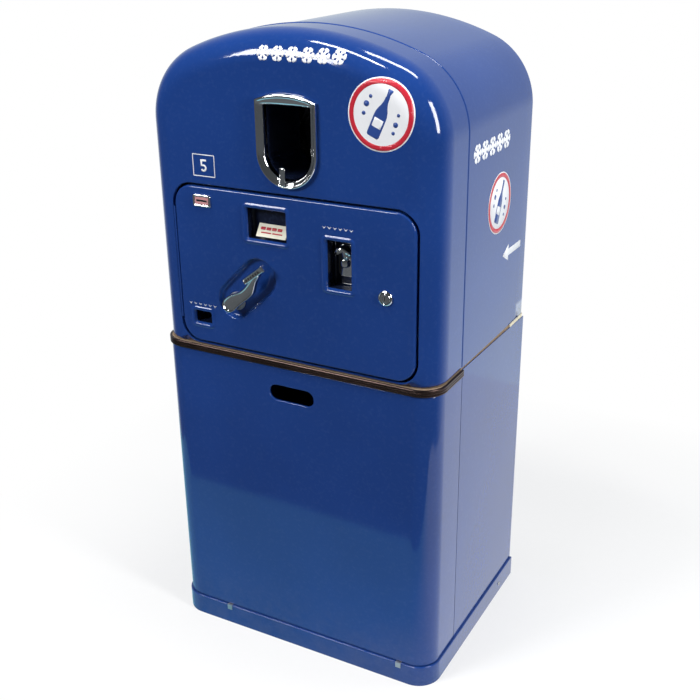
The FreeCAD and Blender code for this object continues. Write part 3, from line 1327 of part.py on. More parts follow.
card_cup = cup("card_cup", d.card_left, d.card_bottom, d.card_right, d.card_top, d.card_depth)
rest_front, rest_rear = back_y + d.rest_edge, face_y + d.card_depth - d.cup_wall
rest_head = d.card_bottom + d.card_slope_rise
card_cup.pad("YZ", d.card_left - d.weld, d.card_right + d.weld, polygon(
    (rest_front, d.card_bottom - d.weld), (rest_rear + d.weld, d.card_bottom - d.weld),
    (rest_rear + d.weld, rest_head), (rest_rear - d.rest_top, rest_head),
    (rest_front, d.card_bottom + d.rest_edge)))
node(card_cup.body, "card_frame")

rest_run = rest_rear - d.rest_top - rest_front
rest_rise = d.card_slope_rise - d.rest_edge
rest_length = root(rest_run * rest_run + rest_rise * rest_rise)
up_y, up_z = rest_run / rest_length, rest_rise / rest_length


def on_rest(along, above):
    """A point above the sloped card rest, some way up it."""
    return (rest_front + up_y * along - up_z * above,
            d.card_bottom + d.rest_edge + up_z * along + up_y * above)


card = Body("card")
card_right = d.card_right - d.card_margin
card_head = d.card_rise + d.card_length
card_face = d.card_float + d.card_thickness
card.pad("YZ", card_right - d.card_width, card_right, polygon(
    on_rest(d.card_rise, d.card_float), on_rest(card_head, d.card_float),
    on_rest(card_head, card_face), on_rest(d.card_rise, card_face)))
node(card.body, "price_card")

node(cup("return_cup", d.return_left, d.return_bottom, d.return_right, d.return_top,
         d.return_depth).body, "coin_return_cup")

opener_cup = cup("opener_cup", d.opener_left, d.opener_bottom, d.opener_right, d.opener_top,
                 d.opener_depth)
opener_cup.pocket("XZ", back_y + d.cup_wall, face_y + d.opener_depth - d.cup_wall,
                  rectangle(d.opener_left + d.cup_wall, d.opener_bottom - d.cup_wall - PAST,
                            d.opener_right - d.cup_wall, d.opener_bottom + PAST))
node(opener_cup.body, "opener_recess")

# Bottle opener: a plate on the back of its recess, with a round hood and a stop
opener_x = (d.opener_left + d.opener_right) / 2
hood_z = d.opener_top - d.opener_drop
opener_y = face_y + d.opener_depth - d.cup_wall
hood_y = opener_y - d.opener_plate
opener = Body("opener")
opener.pad("XZ", hood_y, opener_y,
           rounded(opener_x - d.opener_radius, hood_z - d.opener_foot,
                   opener_x + d.opener_radius, hood_z + d.opener_radius, d.opener_radius / 2))
opener.pad("XZ", hood_y - d.opener_reach, hood_y, ring(opener_x, hood_z, d.opener_radius),
           ring(opener_x, hood_z, d.opener_radius - d.opener_band))
opener.pocket("XZ", hood_y - d.opener_reach - PAST, hood_y,
              rectangle(opener_x - d.opener_radius - PAST, hood_z - d.opener_radius - PAST,
                        opener_x + d.opener_radius + PAST, hood_z))
opener.pad("XZ", hood_y - d.opener_stop_height, hood_y,
           ring(opener_x, hood_z - d.opener_stop, d.opener_stop_radius))
node(opener.body, "bottle_opener")

# Lock: a fixed barrel and a turning plug with its cam
barrel = Body("barrel")
barrel.pad("XZ", face_y - d.lock_proud, face_y, ring(d.lock_x, d.lock_z, d.lock_flange))
barrel.chamfer(d.lock_bevel, flat_at("y", face_y - d.lock_proud))
barrel.pad("XZ", face_y, face_y + d.lock_length, ring(d.lock_x, d.lock_z,
                                                            d.lock_barrel_radius))
barrel.pocket("XZ", face_y - d.lock_proud - PAST, face_y + d.lock_length + PAST,
              ring(d.lock_x, d.lock_z, d.lock_plug_radius + d.running_fit))
node(barrel.body, "lock_barrel")

plug = Body("plug")
cam_y = face_y + d.lock_length + d.lock_plug_proud
plug.pad("XZ", face_y - d.lock_proud - d.lock_plug_proud, cam_y + d.lock_cam_thickness,
         ring(d.lock_x, d.lock_z, d.lock_plug_radius))
plug.pad("XZ", cam_y, cam_y + d.lock_cam_thickness,
         rounded(d.lock_x - d.lock_cam_width / 2, d.lock_z - d.lock_cam_length,
                 d.lock_x + d.lock_cam_width / 2, d.lock_z + d.lock_plug_radius, d.lock_cam_corner))
plug.pocket("XZ", face_y - d.lock_proud - PAST, face_y - d.lock_proud + d.keyway_depth,
            rectangle(d.lock_x - d.keyway_width / 2, d.lock_z - d.keyway_height / 2,
                      d.lock_x + d.keyway_width / 2, d.lock_z + d.keyway_height / 2))
node(plug.body, "lock_plug")

# Crank: collar in the recess, shaft with its cam and tongue, and the grip
collar = Body("collar")
collar_y = floor_y - d.collar_height
collar.pad("XZ", collar_y, floor_y, ring(d.crank_x, d.crank_z, d.collar_radius))
collar.fillet(d.collar_edge, flat_at("y", collar_y))
bearing_outer = d.shaft_radius + d.collar_wall
collar.pad("XZ", floor_y, floor_y + d.bearing_length, ring(
    d.crank_x, d.crank_z, bearing_outer - d.running_fit))
collar.pocket("XZ", collar_y - PAST, floor_y + d.bearing_length + PAST,
              ring(d.crank_x, d.crank_z, d.shaft_radius + d.running_fit))
node(collar.body, "crank_collar")

grip_back = face_y - d.lever_back
grip_front = grip_back - d.lever_thickness
shaft_rear = face_y + d.crank_shaft_length
grip_way = root(d.lever_way_x * d.lever_way_x + d.lever_way_z * d.lever_way_z)
way_x, way_z = d.lever_way_x / grip_way, d.lever_way_z / grip_way


def on_grip(along, aside):
    """A point of the front view: along the grip from the shaft, and aside to its upper left."""
    return (d.crank_x + way_x * along - way_z * aside, d.crank_z + way_z * along + way_x * aside)


shaft = Body("shaft")
shaft.pad("XZ", grip_back, shaft_rear, ring(d.crank_x, d.crank_z, d.shaft_radius))
cam_x, cam_z = on_grip(d.shaft_cam_reach, 0)
cam_front = face_y + d.shaft_cam
shaft.pad("XZ", cam_front, cam_front + d.shaft_cam_width,
          tapered(d.crank_x, d.crank_z, 2 * d.shaft_radius, cam_x, cam_z, d.shaft_cam_nose))
shaft.pad("XZ", shaft_rear, shaft_rear + d.tongue_length,
          rectangle(d.crank_x - d.tongue_width / 2, d.crank_z - d.tongue_thickness / 2,
                    d.crank_x + d.tongue_width / 2, d.crank_z + d.tongue_thickness / 2))
node(shaft.body, "crank_shaft")

# The grip: a round end over the shaft, a belly, and a plate along its upper half
lever = Body("lever")
belly_x, belly_z = on_grip(d.lever_belly, -d.lever_belly_side)
tip_x, tip_z = on_grip(d.lever_tip, 0)
lever.pad("XZ", grip_front, grip_back, tapered(
    d.crank_x, d.crank_z, d.lever_hub_radius, belly_x, belly_z, d.lever_belly_radius))
lever.pad("XZ", grip_front, grip_back, tapered(
    belly_x, belly_z, d.lever_belly_radius, tip_x, tip_z, d.lever_tip_radius))
foot_x, foot_z = on_grip(d.plate_start, d.plate_start_side)
head_x, head_z = on_grip(d.plate_end, d.plate_end_side)
plate_run_x, plate_run_z = head_x - foot_x, head_z - foot_z
plate_length = root(plate_run_x * plate_run_x + plate_run_z * plate_run_z)
off_x = plate_run_z / plate_length * d.plate_width / 2
off_z = plate_run_x / plate_length * d.plate_width / 2
lever.fillet(d.lever_edge, flat_at("y", grip_front))
lever.pad("XZ", grip_front - d.plate_proud, grip_front + d.plate_bar, polygon(
    (foot_x + off_x, foot_z - off_z), (head_x + off_x, head_z - off_z),
    (head_x - off_x, head_z + off_z), (foot_x - off_x, foot_z + off_z)))
lever.pocket("XZ", grip_front - PAST, grip_front + d.scoop_depth, tapered(
    d.crank_x, d.crank_z, d.lever_hub_radius - d.scoop_rim, belly_x, belly_z,
    d.lever_belly_radius - d.scoop_rim))
neck_rear = collar_y - d.loose_gap
lever.pad("XZ", grip_back, neck_rear, ring(d.crank_x, d.crank_z, d.lever_neck),
          ring(d.crank_x, d.crank_z, d.shaft_radius))
node(lever.body, "crank_lever")

# Index crank: turned by the tongue, it carries the drive pawl to the ratchet
index = Body("index")
disc_front = shaft_rear + d.loose_gap
disc_rear = bearing_y - d.arm_gap
index.pad("XZ", disc_front, disc_rear, ring(d.crank_x, d.crank_z, d.tongue_width / 2 + d.index_disc_wall))
index.pocket("XZ", disc_front - PAST, shaft_rear + d.tongue_length + d.tongue_gap,
             rectangle(d.crank_x - d.tongue_width, d.crank_z - d.tongue_thickness / 2 - d.loose_gap,
                       d.crank_x + d.tongue_width, d.crank_z + d.tongue_thickness / 2 + d.loose_gap))
index.pad("XZ", disc_rear - PAST, arm_y + PAST, ring(d.crank_x, d.crank_z, d.shaft_radius))
index.pad("XZ", arm_y, arm_y + d.index_arm_thickness,
          tapered(d.crank_x, d.crank_z, d.index_arm_width / 2 + d.index_eye, drive_x, drive_z,
                  d.index_arm_width / 2))
index.pad("XZ", arm_y + PAST, pawl_y + d.pawl_width + d.pawl_pin_past, ring(drive_x, drive_z, d.pawl_pin))
node(index.body, "index_crank")

# Coin mechanism: two plates with spacers, a coin cradle and a coin chute
mech_left, mech_right = d.slot_x - d.mech_width / 2, d.slot_x + d.mech_width / 2
mech_top = slot_low - d.mech_drop
mech_y = face_y + d.panel_rim + d.mech_gap
plates = [block("mech_front_plate", (mech_left, mech_right), (mech_y, mech_y + d.mech_plate),
                (d.mech_bottom, mech_top)),
          block("mech_rear_plate", (mech_left, mech_right),
                (mech_y + d.mech_depth, mech_y + d.mech_depth + d.mech_plate),
                (d.mech_bottom, mech_top))]
near, far = mech_left + d.mech_inset, mech_right - d.mech_inset
low, high = d.mech_bottom + d.mech_inset, mech_top - d.mech_inset
for number, (x, z) in enumerate(((near, low), (far, low), (near, high), (far, high)), start=1):
    plates.append(rod("mech_stud_%d" % number, "y", (x, back_y, z), d.mech_stud,
                      mech_y + d.mech_depth - back_y + d.mech_plate / 2))
cradle_top = mech_top - d.cradle_drop
plates.append(block("mech_cradle", (d.slot_x - d.cradle_width / 2, d.slot_x + d.cradle_width / 2),
                    (mech_y + d.mech_plate / 2, mech_y + d.mech_depth + d.mech_plate / 2),
                    (cradle_top - d.cradle_height, cradle_top)))
plates.append(block("mech_chute", (d.return_left, d.return_left + d.chute_width),
                    (mech_y + d.mech_plate / 2, mech_y + d.mech_depth + d.mech_plate / 2),
                    (d.return_top + d.cup_wall, high)))
node(fused("mechanism", plates), "coin_mechanism")


def open_box(name, left, right, height):
    """A loose box that is open at the top, standing on the coin panel's shelf."""
    make = Body(name)
    low = shelf_top
    y = face_y + d.box_front
    wall = d.box_wall
    make.pad("XY", low, low + height, rectangle(left, y, right, y + d.box_depth))
    make.pocket("XY", low + wall, low + height + PAST,
                rectangle(left + wall, y + wall, right - wall, y + d.box_depth - wall))
    return node(make.body, name)


open_box("coin_box", d.coin_box_left, d.coin_box_right, d.coin_box_height)
open_box("cap_box", d.cap_box_left, d.cap_box_right, d.cap_box_height)

# Coin panel hinge: knuckles in the groove at the left edge
knuckle = d.groove / 2 - d.loose_gap
hinge_x, hinge_y = d.panel_left - d.groove / 2, front_y + d.panel_proud
hinge_start = d.panel_bottom + d.panel_corner + d.hinge_margin
hinge_stop = d.panel_top - d.panel_corner - d.hinge_margin
KNUCKLES = int(d.panel_knuckles.number)
knuckle_length = (hinge_stop - hinge_start) / d.panel_knuckles
leaf_y = hinge_y + knuckle + d.loose_gap


def panel_leaf(name, moving):
    """One leaf of the coin panel's hinge with its share of the knuckles."""
    if moving:
        near, far, rear = d.panel_left - d.panel_leaf, d.panel_left, face_y + d.panel_rim
    else:
        near, far, rear = hole_left, hole_left + d.panel_leaf, rim_y + d.panel_leaf
    pieces = [block(name + "_leaf", (near, far), (leaf_y, rear), (hinge_start, hinge_stop))]
    if not moving:
        pieces.append(block(name + "_foot", (hole_left - d.panel_leaf_width, far), (rim_y, rear),
                            (hinge_start, hinge_stop)))
    for index in range(1 if moving else 0, KNUCKLES, 2):
        low = hinge_start + knuckle_length * index + d.loose_gap / 2
        tall = knuckle_length - d.loose_gap
        pieces.append(rod("%s_knuckle_%d" % (name, index), "z", (hinge_x, hinge_y, low), knuckle,
                          tall))
        pieces.append(block("%s_tab_%d" % (name, index), (near, far), (hinge_y, leaf_y + d.weld),
                            (low, low + tall)))
    if not moving:
        pieces.append(rod("panel_pin", "z", (hinge_x, hinge_y, hinge_start + 1), d.panel_pin,
                          hinge_stop - hinge_start - 2))
        return fused(name + "_solid", pieces)
    bore = rod(name + "_bore", "z", (hinge_x, hinge_y, hinge_start - PAST),
               d.panel_pin + d.running_fit, hinge_stop - hinge_start + 2 * PAST)
    return cut(name, fused(name + "_solid", pieces), [bore])


node(panel_leaf("fixed", False), "panel_hinge_door_leaf")
node(panel_leaf("moving", True), "panel_hinge_panel_leaf")

# Axle of the drum, bolted through the back of the tank
axle_y = tank_rear - d.tank_sheet
axle_front = d.drum_front + d.core_setback - d.axle_lead


def drum_ring(radius):
    return ring(d.port_x, d.drum_height, radius)


axle = Body("axle")
axle.pad("XZ", axle_front, tank_rear + d.axle_flange_thickness, drum_ring(d.axle_radius))
axle.pad("XZ", axle_y - d.axle_flange_thickness, axle_y, drum_ring(d.axle_flange_radius))
axle.pad("XZ", axle_front - d.axle_collar, axle_front, drum_ring(d.axle_radius + d.axle_collar))
node(axle.body, "drum_axle")

# Drum: a core with a hub and a rear plate, two bushes, 27 bottle tubes and a rim band
bush_outer = d.axle_radius + d.bush_wall
hub_outer = bush_outer + d.hub_wall
drum_rear = d.drum_front + d.drum_length
core_front = d.drum_front + d.core_setback
web_y = (core_front + drum_rear) / 2
core = Body("core")
core.pad("XZ", core_front, drum_rear, drum_ring(hub_outer), drum_ring(bush_outer))
core.pad("XZ", web_y, web_y + 2 * d.core_wall, drum_ring(d.core_radius), drum_ring(bush_outer))
core.pad("XZ", core_front, drum_rear, drum_ring(d.core_radius),
         drum_ring(d.core_radius - d.core_wall))
core.pad("XZ", drum_rear - d.core_wall / 2, drum_rear + d.drum_plate, drum_ring(d.core_radius),
         drum_ring(bush_outer + d.plate_gap))
core.pad("XZ", drum_rear, drum_rear + d.drum_plate, drum_ring(rim_radius),
         drum_ring(d.core_radius - d.core_wall))
node(core.body, "drum_frame")


def drum_tube(name, x, z, y, length, outer, inner):
    """A plain tube along the drum's axis."""
    hull = rod(name + "_outside", "y", (x, y, z), outer, length)
    bore = rod(name + "_bore", "y", (x, y - PAST, z), inner, length + 2 * PAST)
    return cut(name, hull, [bore])


node(group("bushes", [
    drum_tube("bush_" + word, d.port_x, d.drum_height, y, d.bush_length, bush_outer,
              d.axle_radius + d.running_fit)
    for word, y in (("front", core_front), ("rear", drum_rear - d.bush_length))]), "drum_bushes")

tubes = []
for circle in range(RINGS):
    radius = d.ring_inner + d.ring_pitch * circle
    for number in range(CHANNELS):
        angle = math.pi / 2 + NOTCH * (RINGS * number + circle)
        x, z = drum_point(radius, angle)
        tubes.append(drum_tube("tube_%d_%d" % (circle, number), x, z, d.drum_front,
                               d.drum_length, d.bottle_radius + d.tube_wall, d.bottle_radius))
node(group("tubes", tubes), "drum_bottle_tubes")

band_y = d.drum_front - d.band_lead
node(drum_tube("rim_band", d.port_x, d.drum_height, band_y, d.band_width, band_radius,
               rim_radius), "drum_rim_band")

# Ratchet ring on the front of the rim band, one tooth for each bottle
ratchet = Body("ratchet")
ratchet.pad("XZ", ring_front, ring_rear, drum_ring(ratchet_root), drum_ring(rim_radius))
tooth_root = ratchet_root - d.ratchet_height / 4
steep = tip_polar - half_notch / 4


def tooth_point(radius, angle):
    return radius * math.cos(angle), radius * math.sin(angle)


tooth = ratchet.pad("XZ", ring_front, ring_rear, polygon(
    tooth_point(tooth_root, steep - NOTCH * 3 / 4), tooth_point(tooth_root, steep),
    tooth_point(ratchet_tip, steep)), about=(d.port_x, d.drum_height))
ratchet.circle_of(tooth, NOTCHES)
node(ratchet.body, "drum_ratchet_ring")

# Tubes that run to and fro with half-round bends
FLAT = FreeCAD.Rotation(FreeCAD.Vector(1, 0, 0), 90)


def bend(name, x, y, z, radius, tube, side):
    """A half-round bend that joins two level runs, on the right or on the left."""
    half = doc.addObject("Part::Torus", name)
    half.Angle3 = 180
    turn = FreeCAD.Rotation(FreeCAD.Vector(0, 0, 1), -90 if side > 0 else 90)
    half.Placement = FreeCAD.Placement(FreeCAD.Vector(), FLAT.multiply(turn))
    bind(half, "Radius1", radius)
    bind(half, "Radius2", tube)
    for letter, value in zip("xyz", (x, y, z)):
        bind(half, "Placement.Base." + letter, value)
    return half


def serpentine(name, left, right, y, low, pitch, count, tube):
    """Level runs one above the other, joined at alternate ends."""
    pieces = []
    for index in range(count):
        z = low + pitch * index
        pieces.append(rod("%s_run_%d" % (name, index), "x", (left, y, z), tube, right - left))
        if index < count - 1:
            side = 1 if index % 2 else -1
            pieces.append(bend("%s_bend_%d" % (name, index), right if side > 0 else left, y,
                               z + pitch / 2, pitch / 2, tube, side))
    return pieces


node(fused("evaporator", serpentine(
    "cold", d.port_x - d.evaporator_half, d.port_x + d.evaporator_half, line_y,
    d.evaporator_low, d.evaporator_pitch, EVAPORATOR_RUNS, d.evaporator_tube)),
    "evaporator_coil")

# Condenser: fins on a tube, standing on the plinth
coil_left, coil_right = d.coil_x - d.coil_width / 2, d.coil_x + d.coil_width / 2
coil_rear = lower_rear - d.sheet - d.coil_rear_gap
coil_front = coil_rear - d.coil_depth
coil_y = (coil_front + coil_rear) / 2
coil_top = d.plinth_height + d.coil_height
bend_room = d.coil_pitch / 2 + 2 * d.coil_tube
run_low = d.plinth_height + d.coil_low
fins = []
fin_step = (d.coil_width - 2 * bend_room - d.fin_sheet) / (FINS - 1)
for index in range(FINS):
    x = coil_left + bend_room + fin_step * index
    fins.append(block("fin_%d" % index, (x, x + d.fin_sheet), (coil_front, coil_rear),
                      (d.plinth_height, coil_top)))
node(fused("condenser", fins + serpentine(
    "warm", coil_left + bend_room / 2, coil_right - bend_room / 2, coil_y, run_low,
    d.coil_pitch, COIL_RUNS, d.coil_tube)), "condenser")

# Fan: a shroud on the condenser, a motor on its foot, and the blades
coil_z = d.plinth_height + d.coil_height / 2
shroud = block("shroud_plate", (coil_left, coil_right), (coil_front - d.shroud_depth, coil_front),
               (d.plinth_height, coil_top))
shroud_hole = rod("shroud_hole", "y", (d.coil_x, coil_front - d.shroud_depth - PAST, coil_z),
                  d.fan_radius + d.fan_gap, d.shroud_depth + 2 * PAST)
node(cut("shroud", shroud, [shroud_hole]), "fan_shroud")

fan_y = coil_front - d.shroud_depth - d.fan_setback
motor_rear = fan_y - d.fan_hub_length / 2 - d.motor_gap
motor = rod("motor_can", "y", (d.coil_x, motor_rear - d.motor_length, coil_z), d.motor_radius,
            d.motor_length)
motor_shaft = rod("motor_shaft", "y", (d.coil_x, motor_rear - 1, coil_z), d.motor_shaft,
                  d.motor_gap + d.fan_hub_length + 1)
motor_foot = block("motor_foot", (d.coil_x - d.motor_foot / 2, d.coil_x + d.motor_foot / 2),
                   (motor_rear - d.motor_length * 3 / 4, motor_rear - d.motor_length / 4),
                   (d.plinth_height, coil_z - d.motor_radius / 2))
node(fused("motor", [motor, motor_shaft, motor_foot]), "fan_motor")

blades = []
for index in range(FAN_BLADES):
    blade = doc.addObject("Part::Box", "blade_%d" % index)
    bind(blade, "Length", d.fan_radius - d.fan_hub / 2 - d.fan_gap)
    bind(blade, "Width", d.fan_blade)
    bind(blade, "Height", d.blade_sheet)
    pitch = FreeCAD.Rotation(FreeCAD.Vector(1, 0, 0), BLADE_PITCH)
    spin = FreeCAD.Rotation(FreeCAD.Vector(0, 1, 0), 360 / FAN_BLADES * index)
    turn = spin.multiply(pitch)
    middle = spin.multVec(FreeCAD.Vector(1, 0, 0))
    edge = turn.multVec(FreeCAD.Vector(0, 1, 0))
    face = turn.multVec(FreeCAD.Vector(0, 0, 1))
    blade.Placement = FreeCAD.Placement(FreeCAD.Vector(), turn)
    for letter, centre in (("x", d.coil_x), ("y", fan_y), ("z", coil_z)):
        bind(blade, "Placement.Base." + letter,
             centre + d.fan_hub / 2 * getattr(middle, letter)
             - d.fan_blade / 2 * getattr(edge, letter) - d.blade_sheet / 2 * getattr(face, letter))
    blades.append(blade)
hub = rod("fan_hub", "y", (d.coil_x, fan_y - d.fan_hub_length / 2, coil_z), d.fan_hub,
          d.fan_hub_length)
hub_bore = rod("fan_bore", "y", (d.coil_x, fan_y - d.fan_hub_length, coil_z),
               d.motor_shaft + d.running_fit, 2 * d.fan_hub_length)
node(cut("fan", fused("fan_solid", [hub] + blades), [hub_bore]), "fan_blades")

# Compressor on a plate with four rubber feet
pump = Body("pump")
plate_z = d.plinth_height + d.foot_height
pump_low = plate_z + d.pump_plate
pump_top = pump_low + d.pump_height
pump.pad("XY", pump_low, pump_top, ring(d.pump_x, d.pump_y, d.pump_radius))
pump.fillet(d.pump_dome, lambda edge: flat_at("z", pump_low)(edge) or flat_at("z", pump_top)(edge))
plate_half = d.foot_spread + d.foot_radius
pump.pad("XY", plate_z, pump_low + d.weld, rounded(
    d.pump_x - plate_half, d.pump_y - plate_half, d.pump_x + plate_half, d.pump_y + plate_half,
    d.foot_radius))
node(pump.body, "compressor")
node(group("feet", [
    rod("foot_%d_%d" % (1 + right, 1 + rear), "z",
        (d.pump_x + right * d.foot_spread, d.pump_y + rear * d.foot_spread, d.plinth_height),
        d.foot_radius, d.foot_height)
    for right in (-1, 1) for rear in (-1, 1)]), "compressor_feet")


def line(name, points, radius):
    """A tube along a path of straight stretches parallel to the axes, with round corners."""
    pieces = []
    for number, (here, there) in enumerate(zip(points, points[1:]), start=1):
        spans = [known(b).number - known(a).number for a, b in zip(here, there)]
        axis = max(range(3), key=lambda item: abs(spans[item]))
        start, stop = (here, there) if spans[axis] > 0 else (there, here)
        pieces.append(rod("%s_part_%d" % (name, number), "xyz"[axis], start, radius,
                          known(stop[axis]) - start[axis]))
        if number < len(points) - 1:
            ball = doc.addObject("Part::Sphere", "%s_corner_%d" % (name, number))
            bind(ball, "Radius", radius)
            for letter, value in zip("xyz", there):
                bind(ball, "Placement.Base." + letter, value)
            pieces.append(ball)
    return fused(name, pieces)


line_z = coil_top + d.line_rise
suction = line("suction_line", [
    (d.pump_x, d.pump_y, pump_top), (d.pump_x, d.pump_y, line_z),
    (d.pump_x, line_y, line_z), (line_x, line_y, line_z),
    (line_x, line_y, d.evaporator_low),
    (d.port_x + d.evaporator_half, line_y, d.evaporator_low)], d.line_radius)
pump_side = d.pump_x + d.pump_radius
outlet_x = (pump_side + coil_left) / 2
discharge = line("discharge_line", [
    (pump_side, d.pump_y, run_low + d.coil_pitch),
    (outlet_x, d.pump_y, run_low + d.coil_pitch),
    (outlet_x, coil_y, run_low + d.coil_pitch),
    (coil_left + bend_room / 2 - d.coil_pitch / 2, coil_y, run_low + d.coil_pitch)],
    d.line_radius)
node(group("lines", [suction, discharge]), "refrigerant_lines")

# Thermostat on the left side sheet, with its knob
stat_x = -side_in
stat_y = cabinet_y + d.stat_setback
stat_case = block("stat_case", (stat_x, stat_x + d.stat_thickness), (stat_y, stat_y + d.stat_width),
                  (d.stat_height - d.stat_side / 2, d.stat_height + d.stat_side / 2))
stat_middle = stat_x + d.stat_thickness / 2
stat_shaft = rod("stat_shaft", "y", (stat_middle, stat_y - d.knob_length, d.stat_height),
                 d.stat_shaft, d.knob_length + 1)
node(fused("thermostat", [stat_case, stat_shaft]), "thermostat_box")
knob = Body("knob")
knob_rear = stat_y - d.loose_gap
knob_bore = ring(stat_middle, d.stat_height, d.stat_shaft + d.running_fit)
knob_front = stat_y - d.knob_length
knob.pad("XZ", knob_front, knob_rear,
         ring(stat_middle, d.stat_height, d.knob_radius - d.knob_step), knob_bore)
knob.pad("XZ", knob_rear - d.knob_skirt, knob_rear,
         ring(stat_middle, d.stat_height, d.knob_radius - d.knob_step / 4), knob_bore)
knob.pad("XZ", knob_front, knob_rear - d.knob_skirt + PAST, rectangle(
    stat_middle - d.pointer_width / 2, d.stat_height + d.stat_shaft + PAST,
    stat_middle + d.pointer_width / 2, d.stat_height + d.knob_radius))
node(knob.body, "thermostat_knob")

# Wiring box on the plinth and the gland of the cord in the rear panel
wiring_rear = lower_rear - d.sheet - d.wiring_setback
wiring = Body("wiring")
wiring_left, wiring_right = wiring_x - d.wiring_width / 2, wiring_x + d.wiring_width / 2
wiring.pad("XY", d.plinth_height, d.plinth_height + d.wiring_height,
           rectangle(wiring_left, wiring_rear - d.wiring_depth, wiring_right, wiring_rear))
wiring.pocket("XY", d.plinth_height + d.wiring_wall, d.plinth_height + d.wiring_height - d.wiring_wall,
              rectangle(wiring_left + d.wiring_wall, wiring_rear - d.wiring_depth + d.wiring_wall,
                        wiring_right - d.wiring_wall, wiring_rear - d.wiring_wall))
wiring.pocket("XZ", wiring_rear - 2 * d.wiring_wall, wiring_rear + PAST,
              ring(wiring_x, d.gland_height, d.gland_bore))
node(wiring.body, "wiring_box")

gland = Body("gland")
gland.pad("XZ", lower_rear, lower_rear + d.gland_lip, ring(wiring_x, d.gland_height, d.gland_radius))
gland.pad("XZ", lower_rear - d.gland_length, lower_rear, ring(
    wiring_x, d.gland_height, d.gland_radius - d.gland_lip - d.running_fit))
gland.pocket("XZ", lower_rear - d.gland_length - PAST, lower_rear + d.gland_lip + PAST,
             ring(wiring_x, d.gland_height, d.gland_bore))
node(gland.body, "cord_gland")

# Clips over the plinth's front edge that hold the foot of the front panel
clips = []
clip_top = d.plinth_height + d.panel_lift - d.loose_gap
for word, x in (("left", d.clip_left), ("right", d.clip_right)):
    across = (x - d.clip_width / 2, x + d.clip_width / 2)
    plinth_front = -plinth_y
    over = block("clip_top_" + word, across, (plinth_front - d.panel_lift, front_y + d.clip_width),
                 (d.plinth_height, clip_top))
    leg = block("clip_leg_" + word, across, (plinth_front - d.panel_lift, plinth_front),
                (d.plinth_height - d.clip_height, clip_top))
    clips.append(fused("panel_clip_" + word, [over, leg]))
node(group("clips", clips), "panel_clips")

# Every object is sound before the files are written
doc.recompute()
for thing in doc.Objects:
    if "Invalid" in thing.State or "Error" in thing.State:
        raise RuntimeError("%s is not sound: %s" % (thing.Label, thing.State))
for thing in nodes:
    if thing.Shape.isNull() or not thing.Shape.isValid():
        raise RuntimeError("%s has no sound shape" % thing.Label)
    thing.Shape.exportStep("parts/%s.step" % thing.Label)
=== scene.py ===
"""A glossy blue bottle vending machine: a round-topped upper cabinet on a plain base cabinet.

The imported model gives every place. The script dresses it: pressed sheet steel with rolled edges,
chrome castings, and the tank, drum and cooling unit inside. Lengths are in metres, and in
millimetres in the profiles that are divided by 1000.
"""
import json
import math

import bmesh
import bpy
from mathutils import Matrix, Vector
from mathutils.geometry import delaunay_2d_cdt

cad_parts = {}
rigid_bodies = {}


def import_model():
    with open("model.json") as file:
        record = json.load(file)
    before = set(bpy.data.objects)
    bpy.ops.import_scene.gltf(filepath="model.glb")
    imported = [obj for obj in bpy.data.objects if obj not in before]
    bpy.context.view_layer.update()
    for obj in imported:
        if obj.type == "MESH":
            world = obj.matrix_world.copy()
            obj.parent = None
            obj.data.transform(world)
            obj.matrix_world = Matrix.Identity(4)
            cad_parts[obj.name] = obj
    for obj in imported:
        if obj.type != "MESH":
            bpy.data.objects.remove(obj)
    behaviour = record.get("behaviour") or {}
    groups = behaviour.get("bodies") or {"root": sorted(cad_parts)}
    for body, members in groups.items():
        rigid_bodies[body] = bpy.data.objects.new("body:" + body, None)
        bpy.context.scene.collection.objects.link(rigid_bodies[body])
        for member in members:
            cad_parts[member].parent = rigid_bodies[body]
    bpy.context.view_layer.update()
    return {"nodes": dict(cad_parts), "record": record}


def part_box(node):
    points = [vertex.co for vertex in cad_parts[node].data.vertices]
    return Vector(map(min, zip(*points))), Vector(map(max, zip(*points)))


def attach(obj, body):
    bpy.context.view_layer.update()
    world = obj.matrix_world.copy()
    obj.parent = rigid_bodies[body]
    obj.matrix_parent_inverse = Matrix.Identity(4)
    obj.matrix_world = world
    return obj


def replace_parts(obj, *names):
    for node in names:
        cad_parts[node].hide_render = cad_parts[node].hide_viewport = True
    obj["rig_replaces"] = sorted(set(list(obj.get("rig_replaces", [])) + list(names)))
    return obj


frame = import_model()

SCENE = bpy.context.scene
FRONTWARDS = Vector((0, -1, 0))
REARWARDS = Vector((0, 1, 0))
UP = Vector((0, 0, 1))

# Places read from the frame
DOOR_LOW, DOOR_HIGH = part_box("door_shell")
HALF = DOOR_HIGH.x
FRONT = DOOR_LOW.y
SEAM = DOOR_HIGH.y
FOOT = DOOR_LOW.z
CROWN = DOOR_HIGH.z
CASE_LOW, CASE_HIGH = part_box("upper_cabinet_shell")
PANEL_LOW, PANEL_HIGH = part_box("lower_front_panel")
TRAY_LOW, TRAY_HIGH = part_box("coin_panel")
STRIP_LOW, STRIP_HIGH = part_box("trim_strip")
BEZEL_LOW, BEZEL_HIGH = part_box("port_bezel")

# The round top: two shoulders and a flatter crown between them
SHOULDER_RADIUS = 0.150
SHOULDER_DROP = 0.183
SHOULDER_X = HALF - SHOULDER_RADIUS
SHOULDER_Z = CROWN - SHOULDER_DROP
CROWN_RADIUS = ((SHOULDER_X ** 2 + SHOULDER_DROP ** 2 - SHOULDER_RADIUS ** 2)
                / (2 * (SHOULDER_DROP - SHOULDER_RADIUS)))
CROWN_Z = CROWN - CROWN_RADIUS

